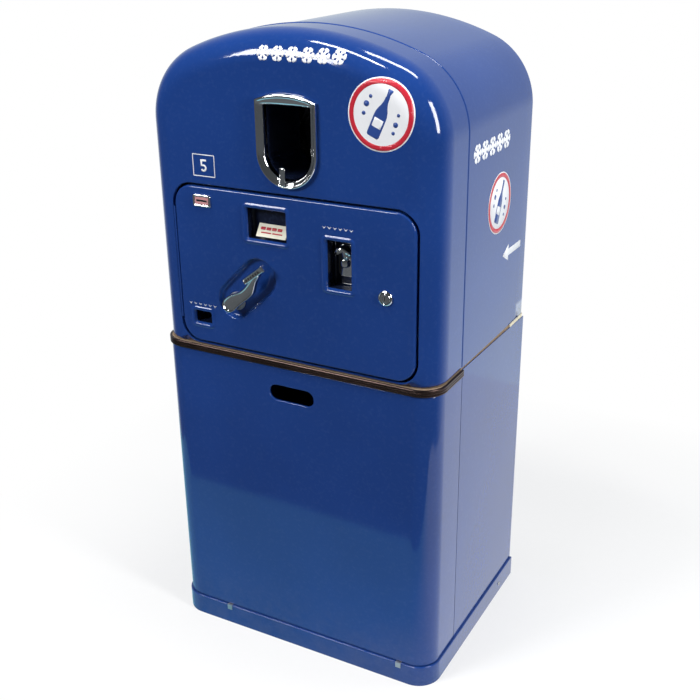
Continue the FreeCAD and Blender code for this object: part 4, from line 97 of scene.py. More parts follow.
# Sizes of the sheet metal
DOOR_ROUND = 0.058
FOOT_ROUND = 0.008
DOOR_SHEET = 0.0015
CASE_SHEET = 0.0012
FLANGE = 0.015
CASE_INSET = HALF - CASE_HIGH.x
PANEL_ROUND = 0.048
BEND = 0.0025
DOOR_RIM = ((0.0035, 0.0), (0.0010, 0.0), (-0.0005, 0.0006), (-0.0012, 0.0020), (-0.0008, 0.0034),
            (0.0, 0.0046))
CASE_ROLL = 0.0055
COIN_CORNER = 0.040
COIN_EDGE = 0.004
COIN_RIM = 0.014
COIN_GROOVE = 0.005
BEAD_HEIGHT = 0.0012
FACE = TRAY_LOW.y + BEAD_HEIGHT

# Steps along the curves
SIDE_STEPS = 12
SHOULDER_STEPS = 22
CROWN_STEPS = 44
ROUND_STEPS = 14
FACE_STEPS = 4
CORNER_STEPS = 10


# Nodes
class Wire:
    """The output of a node. Sums, products and comparisons of it add Math nodes."""

    def __init__(self, net, socket):
        self.net = net
        self.socket = socket

    def maths(self, operation, *values, clamp=False):
        return self.net.node("ShaderNodeMath", {"operation": operation, "use_clamp": clamp},
                             dict(enumerate(values)))

    def __add__(self, other):
        return self.maths("ADD", self, other)

    __radd__ = __add__

    def __sub__(self, other):
        return self.maths("SUBTRACT", self, other)

    def __rsub__(self, other):
        return self.maths("SUBTRACT", other, self)

    def __mul__(self, other):
        return self.maths("MULTIPLY", self, other)

    def __truediv__(self, other):
        return self.maths("DIVIDE", self, other)

    def __abs__(self):
        return self.maths("ABSOLUTE", self)

    def above(self, level, softness):
        """0 below a level and 1 above it, with a soft step between."""
        return self.maths("MULTIPLY", self - (level - softness / 2), 1 / softness, clamp=True)


class Net:
    """An emptied node tree with its end node, and a short way to add the others."""

    def __init__(self, tree, ending):
        self.tree = tree
        tree.nodes.clear()
        self.end = tree.nodes.new(ending)

    def feed(self, socket, value):
        """Links a wire to a socket, or sets the socket to a plain value."""
        if isinstance(value, Wire):
            self.tree.links.new(value.socket, socket)
        elif value is not None:
            if socket.type == "RGBA" and len(value) == 3:
                value = (*value, 1.0)
            socket.default_value = value

    def node(self, kind, settings=None, sockets=None, output=0):
        """Adds any node: its settings first, then the values or links of its sockets."""
        made = self.tree.nodes.new(kind)
        for key, value in (settings or {}).items():
            setattr(made, key, value)
        for key, value in (sockets or {}).items():
            self.feed(made.inputs[key], value)
        return Wire(self, made.outputs[output])


class Finish(Net):
    """One material, with short ways to wire it."""

    def __init__(self, name):
        self.material = bpy.data.materials.new(name)
        self.material.use_nodes = True
        super().__init__(self.material.node_tree, "ShaderNodeOutputMaterial")
        self.place = self.node("ShaderNodeTexCoord", output="Object")

    def noise(self, scale, detail=3.0, roughness=0.5, place=None):
        return self.node("ShaderNodeTexNoise", None, {
            "Vector": place or self.place, "Scale": scale, "Detail": detail,
            "Roughness": roughness})

    def cells(self, scale, output=0):
        return self.node("ShaderNodeTexVoronoi", None, {"Vector": self.place, "Scale": scale},
                         output)

    def stretched(self, x, y, z):
        """The object's own coordinates, scaled along each axis."""
        return self.node("ShaderNodeMapping", None, {"Vector": self.place, "Scale": (x, y, z)})

    def axis(self, letter, place=None):
        return self.node("ShaderNodeSeparateXYZ", None, {0: place or self.place}, letter.upper())

    def mix(self, factor, first, second):
        """A colour between two colours."""
        return self.node("ShaderNodeMix", {"data_type": "RGBA"}, {0: factor, 6: first, 7: second}, 2)

    def bump(self, height, strength, distance=0.001, base=None):
        """A normal bent by a height; base is another bump under it."""
        return self.node("ShaderNodeBump", None, {
            "Height": height, "Strength": strength, "Distance": distance, "Normal": base})

    def ended(self, shader):
        """Ends the material in a shader."""
        self.feed(self.end.inputs["Surface"], shader)
        return self.material

    def surface(self, colour, roughness, metallic=0.0, normal=None, **sockets):
        """Ends the material in one principled surface."""
        return self.ended(self.node("ShaderNodeBsdfPrincipled", None, {
            "Base Color": colour, "Roughness": roughness, "Metallic": metallic,
            "Normal": normal, **sockets}))


# Finishes
def scaled(colour, share):
    """A colour made darker or lighter."""
    return tuple(channel * share for channel in colour)


def enamel(name, colour, gloss=0.055, dust=0.35):
    """Baked enamel on sheet steel: deep gloss, fine orange peel and a slow waviness of the sheet."""
    paint = Finish(name)
    drift = paint.noise(3.1, 2.0)
    fleck = paint.noise(140.0, 2.0)
    height = paint.axis("z")
    tone = paint.mix(drift.above(0.5, 0.5), scaled(colour, 0.86), scaled(colour, 1.10))
    tone = paint.mix(fleck.above(0.62, 0.2) * 0.06, tone, (0.10, 0.16, 0.34))
    low = (1.0 - height.above(0.09, 0.16)) * paint.noise(34.0, 4.0, 0.65).above(0.5, 0.3)
    tone = paint.mix(low * dust * 0.16, tone, (0.28, 0.27, 0.26))
    wiped = paint.noise(1.0, 3.0, 0.6, paint.stretched(5.0, 5.0, 38.0)).above(0.56, 0.3)
    rough = gloss + drift * 0.02 + wiped * 0.018 + low * dust * 0.20
    peel = paint.bump(paint.noise(420.0, 2.0, 0.45), 0.045, 0.0004)
    wavy = paint.bump(paint.noise(3.6, 1.0, 0.4), 0.34, 0.0035, peel)
    return paint.surface(tone, rough, 0.0, wavy, IOR=1.45)


def chrome(name):
    """Plated zinc or steel: bright, with slight casting waves, wiping marks and pits."""
    metal = Finish(name)
    bright = (0.86, 0.86, 0.87)
    smear = metal.noise(55.0, 4.0, 0.6)
    pits = metal.noise(900.0, 2.0, 0.5)
    tone = metal.mix(smear.above(0.55, 0.4) * 0.30, bright, scaled(bright, 0.78))
    tone = metal.mix(pits.above(0.72, 0.06) * 0.5, tone, (0.30, 0.27, 0.24))
    rough = 0.045 + smear.above(0.5, 0.5) * 0.05 + pits.above(0.70, 0.08) * 0.2
    cast = metal.bump(metal.noise(85.0, 2.0), 0.10, 0.0010)
    return metal.surface(tone, rough, 1.0, metal.bump(smear, 0.03, 0.0003, cast))


def bare_metal(name, colour, roughness, grain=(1.0, 1.0, 1.0), stain=(0.30, 0.24, 0.18)):
    """Unpainted metal: brushed along one way, with dull patches and a few brown stains."""
    metal = Finish(name)
    lines = metal.noise(260.0, 3.0, 0.6, metal.stretched(*grain))
    patch = metal.noise(14.0, 5.0, 0.62)
    tone = metal.mix(patch.above(0.5, 0.6), scaled(colour, 0.80), colour)
    tone = metal.mix(lines * 0.20, tone, scaled(colour, 0.62))
    tone = metal.mix(metal.noise(26.0, 6.0, 0.7).above(0.66, 0.14) * 0.55, tone, stain)
    rough = roughness + patch.above(0.5, 0.7) * 0.14 + lines * 0.10
    return metal.surface(tone, rough, 0.92, metal.bump(lines, 0.10, 0.0003))


def galvanised(name):
    """Zinc-coated sheet with its pale and dark crystals."""
    metal = Finish(name)
    zinc = (0.55, 0.57, 0.58)
    shade = metal.axis("x", metal.cells(85.0, "Color"))
    haze = metal.noise(9.0, 5.0, 0.6)
    tone = metal.mix(shade, scaled(zinc, 0.74), scaled(zinc, 1.16))
    tone = metal.mix(haze.above(0.56, 0.3) * 0.45, tone, (0.60, 0.60, 0.57))
    rough = 0.30 + shade * 0.16 + haze.above(0.5, 0.5) * 0.18
    return metal.surface(tone, rough, 0.85, metal.bump(shade, 0.06, 0.0004))


def painted(name, colour, roughness, chips=(0.22, 0.20, 0.18)):
    """Plain paint on steel, with specks, a little grime and small chips."""
    paint = Finish(name)
    grime = paint.noise(11.0, 5.0, 0.6)
    speck = paint.noise(170.0, 3.0, 0.6)
    tone = paint.mix(grime.above(0.56, 0.35) * 0.30, colour, scaled(colour, 0.62))
    tone = paint.mix(speck.above(0.70, 0.05) * 0.7, tone, chips)
    rough = roughness + grime.above(0.5, 0.5) * 0.18
    return paint.surface(tone, rough, 0.0, paint.bump(speck, 0.10, 0.0004))


def moulded(name, colour, roughness, grain=520.0, depth=0.16):
    """Rubber, plastic or fibre: a fine grain, pale rub marks and dust."""
    matt = Finish(name)
    fine = matt.noise(grain, 3.0, 0.6)
    rub = matt.noise(30.0, 5.0, 0.66)
    tone = matt.mix(rub.above(0.58, 0.3) * 0.22, colour, tuple(c * 0.5 + 0.22 for c in colour))
    tone = matt.mix(fine * 0.16, tone, scaled(colour, 0.6))
    return matt.surface(tone, roughness + rub * 0.2, 0.0, matt.bump(fine, depth, 0.0005))


def pressed_board(name):
    """Hard fibre board: brown, with short fibres and a rubbed face."""
    board = Finish(name)
    fibre = board.noise(300.0, 4.0, 0.7, board.stretched(1.0, 0.35, 2.4))
    patch = board.noise(12.0, 3.0)
    tone = board.mix(fibre, (0.21, 0.135, 0.085), (0.42, 0.31, 0.20))
    tone = board.mix(patch.above(0.5, 0.5) * 0.3, tone, (0.16, 0.11, 0.075))
    return board.surface(tone, 0.72 + fibre * 0.15, 0.0, board.bump(fibre, 0.3, 0.0006))


def ribbed_bronze(name):
    """Anodised trim: copper-brown, darker in its hollows, with fine lengthwise lines."""
    metal = Finish(name)
    lines = metal.noise(700.0, 2.0, 0.5, metal.stretched(0.03, 0.03, 1.0))
    tarnish = metal.noise(16.0, 5.0, 0.62)
    tone = metal.mix(tarnish.above(0.5, 0.45), (0.034, 0.021, 0.019), (0.090, 0.056, 0.048))
    tone = metal.mix(lines * 0.35, tone, (0.018, 0.012, 0.011))
    rough = 0.20 + tarnish * 0.14 + lines * 0.10
    return metal.surface(tone, rough, 0.88, metal.bump(lines, 0.10, 0.0003))


def foam(name):
    """Insulating foam: warm yellow, full of small cells."""
    soft = Finish(name)
    cells = soft.cells(420.0)
    patch = soft.noise(10.0, 4.0)
    tone = soft.mix(cells.above(0.5, 0.8), (0.78, 0.62, 0.30), (0.90, 0.79, 0.50))
    tone = soft.mix(patch.above(0.5, 0.5) * 0.3, tone, (0.66, 0.48, 0.22))
    return soft.surface(tone, 0.9, 0.0, soft.bump(cells, 0.5, 0.0012))


def card_stock(name):
    """Cream card with soft fibres and browned edges."""
    card = Finish(name)
    fibre = card.noise(900.0, 3.0, 0.6, card.stretched(1.0, 0.5, 1.0))
    age = card.noise(60.0, 4.0)
    tone = card.mix(fibre * 0.3, (0.80, 0.78, 0.66), (0.66, 0.63, 0.50))
    tone = card.mix(age.above(0.6, 0.3) * 0.25, tone, (0.62, 0.52, 0.36))
    return card.surface(tone, 0.75, 0.0, card.bump(fibre, 0.12, 0.0003))


def ink(name, colour):
    """Screen-printed colour: nearly even, with a slightly dry edge to its gloss."""
    print_ = Finish(name)
    patch = print_.noise(70.0, 4.0, 0.6)
    tone = print_.mix(patch.above(0.55, 0.4) * 0.16, colour, scaled(colour, 0.82))
    return print_.surface(tone, 0.30 + patch * 0.10, 0.0, print_.bump(patch, 0.04, 0.0004))


FINISHES = {
    "blue_enamel": enamel("blue_enamel", (0.0100, 0.043, 0.205)),
    "dark_cup": enamel("dark_enamel", (0.006, 0.010, 0.028), 0.16, 0.2),
    "chrome": chrome("bright_chrome"),
    "bronze_strip": ribbed_bronze("bronze_strip"),
    "cream_packing": moulded("cream_packing", (0.74, 0.68, 0.50), 0.7, 260.0, 0.35),
    "fibre_board": pressed_board("fibre_board"),
    "galvanised": galvanised("galvanised_sheet"),
    "tank_white": painted("tank_white", (0.70, 0.73, 0.70), 0.30),
    "foam": foam("insulating_foam"),
    "black_rubber": moulded("black_rubber", (0.022, 0.022, 0.023), 0.62),
    "black_paint": painted("black_paint", (0.018, 0.018, 0.020), 0.32, (0.16, 0.14, 0.12)),
    "steel": bare_metal("plain_steel", (0.46, 0.46, 0.48), 0.26),
    "bronze": bare_metal("bearing_bronze", (0.62, 0.40, 0.17), 0.30, (1.0, 0.1, 1.0)),
    "copper": bare_metal("copper_pipe", (0.72, 0.35, 0.20), 0.24, stain=(0.16, 0.20, 0.14)),
    "aluminium": bare_metal("aluminium", (0.66, 0.67, 0.69), 0.30, (1.0, 0.2, 0.2)),
    "black_plastic": moulded("black_plastic", (0.020, 0.020, 0.022), 0.40, 300.0, 0.08),
    "gasket": moulded("grey_gasket", (0.34, 0.35, 0.34), 0.60, 380.0, 0.12),
    "card": card_stock("cream_card"),
    "white_ink": ink("white_ink", (0.82, 0.83, 0.86)),
    "red_ink": ink("red_ink", (0.52, 0.016, 0.035)),
    "rose_ink": ink("rose_ink", (0.56, 0.27, 0.28)),
    "blue_ink": ink("blue_ink", (0.020, 0.060, 0.26)),
}


# Meshes
class Skin:
    """Points and faces gathered for one piece."""

    def __init__(self):
        self.points = []
        self.faces = []

    def row(self, points):
        first = len(self.points)
        self.points.extend(Vector(point) for point in points)
        return list(range(first, len(self.points)))

    def band(self, low, high, closed=True):
        """Four-sided faces between two rows of the same count."""
        count = len(low)
        for place in range(count if closed else count - 1):
            after = (place + 1) % count
            self.faces.append((low[place], low[after], high[after], high[place]))

    def bands(self, rows, closed=True):
        for low, high in zip(rows, rows[1:]):
            self.band(low, high, closed)

    def stack(self, rings, closed=True):
        """A row for each ring of points, with faces from each row to the next."""
        rows = [self.row(ring) for ring in rings]
        self.bands(rows, closed)
        return rows

    def cap(self, row):
        """One face over a whole row."""
        self.faces.append(tuple(row))

    def fan(self, row, centre):
        """Closes a row with three-sided faces about a middle point."""
        middle = self.row([centre])[0]
        for place in range(len(row)):
            self.faces.append((row[place], row[(place + 1) % len(row)], middle))

    def fill(self, outer, holes=(), extra=(), across=("x", "z")):
        """Fills an outline round its holes, on the points that are there and some more inside."""
        used = [*outer]
        loops = [list(range(len(outer)))]
        for hole in holes:
            loops.append(list(range(len(used), len(used) + len(hole))))
            used.extend(hole)
        used.extend(extra)
        flat = [Vector([getattr(self.points[index], letter) for letter in across])
                for index in used]
        result = delaunay_2d_cdt(flat, [], loops, 2, 1e-7)
        places = [used[sources[0]] if sources else None for sources in result[3]]
        for face in result[2]:
            corners = [places[number] for number in face]
            if None not in corners:
                self.cap(corners)

    def mesh(self, name, weld=1e-6):
        made = bpy.data.meshes.new(name)
        made.from_pydata([tuple(point) for point in self.points], [], self.faces)
        shape = bmesh.new()
        shape.from_mesh(made)
        bmesh.ops.remove_doubles(shape, verts=shape.verts, dist=weld)
        loose = [vertex for vertex in shape.verts if not vertex.link_faces]
        bmesh.ops.delete(shape, geom=loose, context="VERTS")
        bmesh.ops.recalc_face_normals(shape, faces=shape.faces)
        shape.to_mesh(made)
        shape.free()
        return made


def settled(thing, angle=32.0, weighted=True):
    """Applies a piece's modifiers, then rounds its shading except at edges over an angle."""
    if weighted:
        thing.modifiers.new("weighted", "WEIGHTED_NORMAL").keep_sharp = True
    thing.data.shade_smooth()
    thing.data.set_sharp_from_angle(angle=math.radians(angle))
    bpy.context.view_layer.update()
    graph = bpy.context.evaluated_depsgraph_get()
    whole = bpy.data.meshes.new_from_object(thing.evaluated_get(graph))
    thing.modifiers.clear()
    thing.data = whole
    return thing


def thing_of(name, mesh):
    thing = bpy.data.objects.new(name, mesh)
    SCENE.collection.objects.link(thing)
    return thing


def dressed(thing, body, finish, nodes=()):
    """Gives a piece its finish, its body and the nodes that it stands for."""
    thing.data.materials.clear()
    thing.data.materials.append(FINISHES[finish])
    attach(thing, body)
    if nodes:
        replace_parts(thing, *nodes)
    return thing


def facing(mesh, way, faces=None):
    """Turns an open sheet over where most of the area of its faces, or of some, looks away."""
    if sum(face.normal.dot(way) * face.area for face in faces or mesh.polygons) < 0:
        mesh.flip_normals()


def face_out(mesh):
    """Turns an open sheet so that its faces point out, judged by its foremost ones."""
    foremost = min(face.center.y for face in mesh.polygons)
    facing(mesh, FRONTWARDS, [face for face in mesh.polygons if face.center.y < foremost + 0.0008])


def walled(thing, thickness):
    """Gives an open sheet its thickness, measured inwards."""
    wall = thing.modifiers.new("wall", "SOLIDIFY")
    wall.thickness = thickness
    wall.offset = -1.0
    return thing


def built(name, skin, angle=32.0, weighted=True):
    """A closed skin as it is, not dressed yet."""
    return settled(thing_of(name, skin.mesh(name)), angle, weighted)


def sheet_piece(name, skin, thickness, body, finish, nodes=()):
    """An open skin made into sheet metal of one thickness."""
    mesh = skin.mesh(name)
    face_out(mesh)
    thing = settled(walled(thing_of(name, mesh), thickness))
    return dressed(thing, body, finish, nodes=nodes)


def solid_piece(name, skin, body, finish, nodes=(), angle=32.0):
    """A closed skin, dressed."""
    return dressed(built(name, skin, angle), body, finish, nodes=nodes)


def joined(name, parts, body, finish, nodes=()):
    """Puts several finished pieces together as one."""
    whole = bmesh.new()
    for part in parts:
        whole.from_mesh(part.data)
    mesh = bpy.data.meshes.new(name)
    whole.to_mesh(mesh)
    whole.free()
    for part in parts:
        bpy.data.objects.remove(part)
    return dressed(settled(thing_of(name, mesh)), body, finish, nodes=nodes)


# Outlines in the front view, as lists of (x, z)
def turn_points(x, z, radius, start, stop, steps):
    """Points along an arc, between two angles in degrees."""
    made = []
    for step in range(steps + 1):
        angle = math.radians(start + (stop - start) * step / steps)
        made.append((x + radius * math.cos(angle), z + radius * math.sin(angle)))
    return made


def mirrored(points, middle=0.0):
    """The other half of a symmetric outline, in the order that continues it."""
    return [(middle - (x - middle), z) for x, z in reversed(points)]


def hood(inset, foot):
    """The round-topped outline from its left foot over the crown to its right foot."""
    lean = math.degrees(math.atan2(SHOULDER_Z - CROWN_Z, SHOULDER_X))
    left = [(inset - HALF, foot + (SHOULDER_Z - foot) * step / SIDE_STEPS)
            for step in range(SIDE_STEPS)]
    left += turn_points(-SHOULDER_X, SHOULDER_Z, SHOULDER_RADIUS - inset, 180, 180 - lean,
                        SHOULDER_STEPS)
    top = turn_points(0, CROWN_Z, CROWN_RADIUS - inset, 180 - lean, lean, CROWN_STEPS)
    return left + top[1:-1] + mirrored(left)


def rounded(left, low, right, high, radius, steps=CORNER_STEPS):
    """A rectangle with round corners, anticlockwise from the foot of its left side."""
    made = []
    for x, z, start in ((left + radius, low + radius, 180), (right - radius, low + radius, 270),
                        (right - radius, high - radius, 0), (left + radius, high - radius, 90)):
        made += turn_points(x, z, radius, start, start + 90, steps)
    return made


def grown(outline, margin):
    """A round-cornered rectangle grown by a margin all round."""
    left, low, right, high, radius = outline
    return (left - margin, low - margin, right + margin, high + margin, radius + margin)


def tapered(x1, z1, r1, x2, z2, r2, steps):
    """Two round ends joined by straight flanks."""
    run = math.hypot(x2 - x1, z2 - z1)
    way = math.degrees(math.atan2(z2 - z1, x2 - x1))
    lean = math.degrees(math.acos((r1 - r2) / run))
    return (turn_points(x1, z1, r1, way + lean, way + 360 - lean, steps)
            + turn_points(x2, z2, r2, way - lean, way + lean, steps))


def circle(x, z, radius, steps=40):
    return turn_points(x, z, radius, 0, 360, steps)[:-1]


def placed(outline, y):
    """An outline of (x, z) at a depth."""
    return [(x, y, z) for x, z in outline]


def bend(radius, steps):
    """Steps of a quarter round: how far in, and how far down, from its first tangent."""
    made = []
    for step in range(steps + 1):
        angle = math.radians(90.0 * step / steps)
        made.append((radius * (1 - math.cos(angle)), radius * (1 - math.sin(angle))))
    return made


def smooth_copy(node, body, finish, edge):
    """A welded copy of a CAD node with broken edges and even shading, which stands for it."""
    whole = bmesh.new()
    whole.from_mesh(frame["nodes"][node].data)
    bmesh.ops.remove_doubles(whole, verts=whole.verts, dist=2e-5)
    bmesh.ops.dissolve_limit(whole, angle_limit=math.radians(0.6), verts=whole.verts,
                             edges=whole.edges)
    mesh = bpy.data.meshes.new(node + "_look")
    whole.to_mesh(mesh)
    whole.free()
    thing = thing_of(node + "_look", mesh)
    cut = thing.modifiers.new("edges", "BEVEL")
    cut.width = edge
    cut.segments = 2
    cut.limit_method = "ANGLE"
    cut.angle_limit = math.radians(30.0)
    cut.harden_normals = False
    cut.use_clamp_overlap = True
    return dressed(settled(thing), body, finish, nodes=(node,))


# The sheet-metal outsides
def plan(inset, radius, rear, z):
    """The wrap round the front, from the left seam to the right seam, at a height."""
    left = [(inset - HALF, rear)]
    left += turn_points(radius - HALF, FRONT + radius, radius - inset, 180, 270, ROUND_STEPS)
    return [(x, y, z) for x, y in left + mirrored(left)]


def door_depth(inset):
    """How far back the door's face lies, at a distance in from its outline."""
    if inset >= DOOR_ROUND:
        return FRONT
    return FRONT + DOOR_ROUND - math.sqrt(DOOR_ROUND ** 2 - (DOOR_ROUND - inset) ** 2)


def foot_depth(z):
    """The front of the door where it curves under at its foot."""
    drop = FOOT + FOOT_ROUND - z
    if drop <= 0:
        return FRONT
    return FRONT + FOOT_ROUND - math.sqrt(max(FOOT_ROUND ** 2 - drop ** 2, 0.0))


def inset_at(x, z):
    """How far a point of the door's face lies in from the door's outline."""
    if z <= SHOULDER_Z:
        return HALF - abs(x)
    if (z - CROWN_Z) * SHOULDER_X < abs(x) * (SHOULDER_Z - CROWN_Z):
        return SHOULDER_RADIUS - math.hypot(abs(x) - SHOULDER_X, z - SHOULDER_Z)
    return CROWN_RADIUS - math.hypot(x, z - CROWN_Z)


def door_face(x, z):
    """The front of the door at any point, with its round rim and its foot."""
    return max(foot_depth(z), door_depth(inset_at(x, z)))


PORT_X = (BEZEL_LOW.x + BEZEL_HIGH.x) / 2
PORT_HALF = 0.049
PORT_BAND = BEZEL_HIGH.x - PORT_X
PORT_ROUND_Z = BEZEL_LOW.z + PORT_BAND
PORT_TOP = 1.201
PORT_HEAD = 1.211
PORT_CROWN = BEZEL_HIGH.z - PORT_HEAD
PORT_GAP = 0.0015


def port(half, head, crown=0.0, steps=24, side_steps=8, top_steps=18):
    """The port's outline: round at the foot, straight sides, a straight or arched head."""
    foot = turn_points(PORT_X, PORT_ROUND_Z, half, 180, 360, steps)
    rise = [(PORT_X + half, PORT_ROUND_Z + (head - PORT_ROUND_Z) * step / side_steps)
            for step in range(1, side_steps + 1)]
    top = []
    for step in range(1, top_steps):
        across = 1 - 2 * step / top_steps
        lift = 0.0
        if crown:
            bow = (half ** 2 + crown ** 2) / (2 * crown)
            lift = math.sqrt(bow ** 2 - (half * across) ** 2) - (bow - crown)
        top.append((PORT_X + half * across, head + lift))
    return foot + rise + top + mirrored(rise, PORT_X)


def door_plan(inset, z):
    """The door's wrap at a height near its foot, with the bend along its rear rim."""
    left = [(step_in - (HALF - inset), SEAM - drop) for step_in, drop in DOOR_RIM]
    left += turn_points(DOOR_ROUND - HALF, FRONT + DOOR_ROUND, DOOR_ROUND - inset, 180, 270,
                        ROUND_STEPS)
    return [(x, y, z) for x, y in left + mirrored(left)]


TRAY = (-0.256, 0.704, 0.2735, 1.032, COIN_CORNER)
COIN_LIP = 0.0022
COIN_LIP_DEPTH = 0.012
FOOT_COLUMNS = 24
FOOT_POINTS = 60
CLEAR_OF_OPENING = 0.004


def make_door():
    """The pressed door: its rim, its round front edge, the holes in its face and its foot."""
    skin = Skin()
    base = FOOT + FOOT_ROUND
    rings = [placed(hood(step_in, base), SEAM - drop) for step_in, drop in DOOR_RIM]
    rings += [placed(hood(inset, base), FRONT + drop)
              for inset, drop in bend(DOOR_ROUND, ROUND_STEPS)]
    rows = [skin.row(ring) for ring in rings]
    count = len(rows)
    near = rows[:-FACE_STEPS]
    kept = len(near)
    skin.bands(near, closed=False)
    feet = [[row[0] for row in rows] + [row[-1] for row in reversed(rows)]]
    levels = bend(FOOT_ROUND, 5)[1:]
    feet += [skin.row(door_plan(inset, FOOT + drop)) for inset, drop in levels]
    for low, high in zip(feet, feet[1:]):
        skin.band(low[:kept], high[:kept], closed=False)
        skin.band(low[-kept:], high[-kept:], closed=False)
    left_edge = [foot[kept - 1] for foot in feet]
    right_edge = [foot[-kept] for foot in feet]
    middle = HALF - DOOR_ROUND
    foot_line = skin.row([(-middle + 2 * middle * step / FOOT_COLUMNS, FRONT + FOOT_ROUND, FOOT)
                          for step in range(1, FOOT_COLUMNS)])
    outer = list(reversed(left_edge)) + near[-1][1:-1] + right_edge
    last = feet[-1]
    outer += [*reversed(last[count:-kept]), *reversed(foot_line), *reversed(last[kept:count])]
    opening = grown(TRAY, COIN_GROOVE)
    rings = []
    for depth, margin in bend(COIN_LIP, 4):
        outline = rounded(*grown(opening, margin))
        rings.append([(x, door_face(x, z) + depth, z) for x, z in outline])
    rings.append(placed(rounded(*opening), FRONT + COIN_LIP_DEPTH))
    groove = skin.stack(rings)
    mouth = skin.row(placed(port(PORT_HALF + PORT_GAP, PORT_TOP + PORT_GAP), FRONT))
    left, low, right, high, _ = grown(opening, CLEAR_OF_OPENING)
    extra = []
    for inset, drop in levels[:-1]:
        for step in range(1, FOOT_POINTS):
            x = -middle + 2 * middle * step / FOOT_POINTS
            if x < left or x > right:
                extra.append((x, FRONT + inset, FOOT + drop))
    outside = skin.row(extra)
    curved = [point for row in rows[-FACE_STEPS:] for point in row]
    curved += [point for foot in feet[1:-1] for point in foot[kept:-kept]]
    for point in curved:
        x, _, z = skin.points[point]
        if x < left or x > right or z < low or z > high:
            outside.append(point)
    skin.fill(outer, [groove[0], mouth], outside)
    skin.fill(last[:count] + foot_line + last[count:], across=("x", "y"))
    back = [foot[0] for foot in reversed(feet)] + rows[0][1:-1] + [foot[-1] for foot in feet]
    lip = DOOR_SHEET + FLANGE
    skin.fill(back, [skin.row(placed(hood(lip, FOOT + lip), SEAM))])
    return sheet_piece("door_skin", skin, DOOR_SHEET, "upper_door", "blue_enamel", ("door_shell",))


def make_upper_case():
    """The upper cabinet behind the door, with a rolled front edge and a flange inside it."""
    skin = Skin()
    foot = CASE_LOW.z
    lip = CASE_SHEET + FLANGE
    rings = [placed(hood(CASE_INSET + lip, foot + lip), CASE_LOW.y)]
    for step_in, drop in reversed(bend(CASE_ROLL, 6)):
        rings.append(placed(hood(CASE_INSET + step_in, foot + step_in), CASE_LOW.y + drop))
    span = CASE_HIGH.y - CASE_LOW.y - CASE_ROLL
    for step in range(1, 9):
        rings.append(placed(hood(CASE_INSET, foot), CASE_LOW.y + CASE_ROLL + span * step / 8))
    skin.stack(rings)
    mesh = skin.mesh("upper_case")
    facing(mesh, UP, [max(mesh.polygons, key=lambda face: face.center.z)])
    thing = settled(walled(thing_of("upper_case", mesh), CASE_SHEET))
    return dressed(thing, "cabinet", "blue_enamel", nodes=("upper_cabinet_shell",))


HAND_SLOT_Z = 0.622
HAND_SLOT_HALF = 0.052
HAND_SLOT_ROUND = 0.017
HAND_SLOT_BEND = 0.0018
HAND_SLOT_DEPTH = 0.0045
PANEL_LEVELS = 10


def make_front_cover():
    """The lift-off front panel: folded at foot and head, with its hand slot."""
    skin = Skin()
    low, high, rear = PANEL_LOW.z, PANEL_HIGH.z, PANEL_HIGH.y
    steps = [(FLANGE, low)]
    steps += [(inset, low + drop) for inset, drop in reversed(bend(BEND, 4))]
    rows = [skin.row(plan(inset, PANEL_ROUND, rear, z)) for inset, z in steps]
    tops = [skin.row(plan(inset, PANEL_ROUND, rear, high - (z - low)))
            for inset, z in reversed(steps)]
    skin.bands(rows, closed=False)
    skin.bands(tops, closed=False)
    half = len(rows[-1]) // 2
    columns = [rows[-1]]
    for step in range(1, PANEL_LEVELS):
        z = low + BEND + (high - low - 2 * BEND) * step / PANEL_LEVELS
        columns.append(skin.row(plan(0.0, PANEL_ROUND, rear, z)))
    columns.append(tops[0])
    for below, above in zip(columns, columns[1:]):
        skin.band(below[:half], above[:half], closed=False)
        skin.band(below[half:], above[half:], closed=False)
    left = [column[half - 1] for column in columns]
    right = [column[half] for column in columns]
    rings = []
    for depth, margin in bend(HAND_SLOT_BEND, 4):
        tall = HAND_SLOT_ROUND + margin
        outline = rounded(-HAND_SLOT_HALF - margin, HAND_SLOT_Z - tall, HAND_SLOT_HALF + margin,
                          HAND_SLOT_Z + tall, tall - 1e-5, 9)
        rings.append(placed(outline, FRONT + depth))
    rings.append(placed(outline, FRONT + HAND_SLOT_DEPTH))
    slot = skin.stack(rings)
    skin.fill([left[0], *right, *reversed(left[1:])], [slot[0]])
    return sheet_piece("front_cover", skin, CASE_SHEET, "lower_panel", "blue_enamel",
                       ("lower_front_panel",))


# How proud of the panel the strip stands, at each height, in millimetres
STRIP_PROFILE = (
    (-1.0, 0.0), (2.6, 0.0), (3.4, 0.25), (3.9, 1.0), (4.0, 1.9), (4.0, 2.9), (3.8, 3.6),
    (3.0, 4.1), (3.0, 4.9), (3.8, 5.5), (4.0, 6.1), (4.0, 7.9), (3.8, 8.5), (3.0, 9.1),
    (3.0, 9.9), (3.8, 10.4), (4.0, 11.1), (4.0, 12.1), (3.9, 13.0), (3.4, 13.75), (2.6, 14.0),
    (-1.0, 14.0))


def make_strip():
    """The strip with its two grooves, round the front and the sides."""
    skin = Skin()
    rows = [skin.row(plan(-proud / 1000, PANEL_ROUND, STRIP_HIGH.y, STRIP_LOW.z + height / 1000))
            for proud, height in STRIP_PROFILE]
    skin.bands([*rows, rows[0]], closed=False)
    skin.cap(row[0] for row in rows)
    skin.cap(row[-1] for row in reversed(rows))
    return solid_piece("ridged_strip", skin, "cabinet", "bronze_strip", ("trim_strip",), 24.0)


make_door()
make_upper_case()
make_front_cover()
make_strip()


# The coin panel with its pressed openings: left, low, right, high and corner radius
CARD = (-0.086, 0.942, 0.001, 1.002, 0.003)
RETURN = (-0.224, 0.745, -0.186, 0.769, 0.003)
OPENER = (0.0895, 0.868, 0.141, 0.961, 0.003)
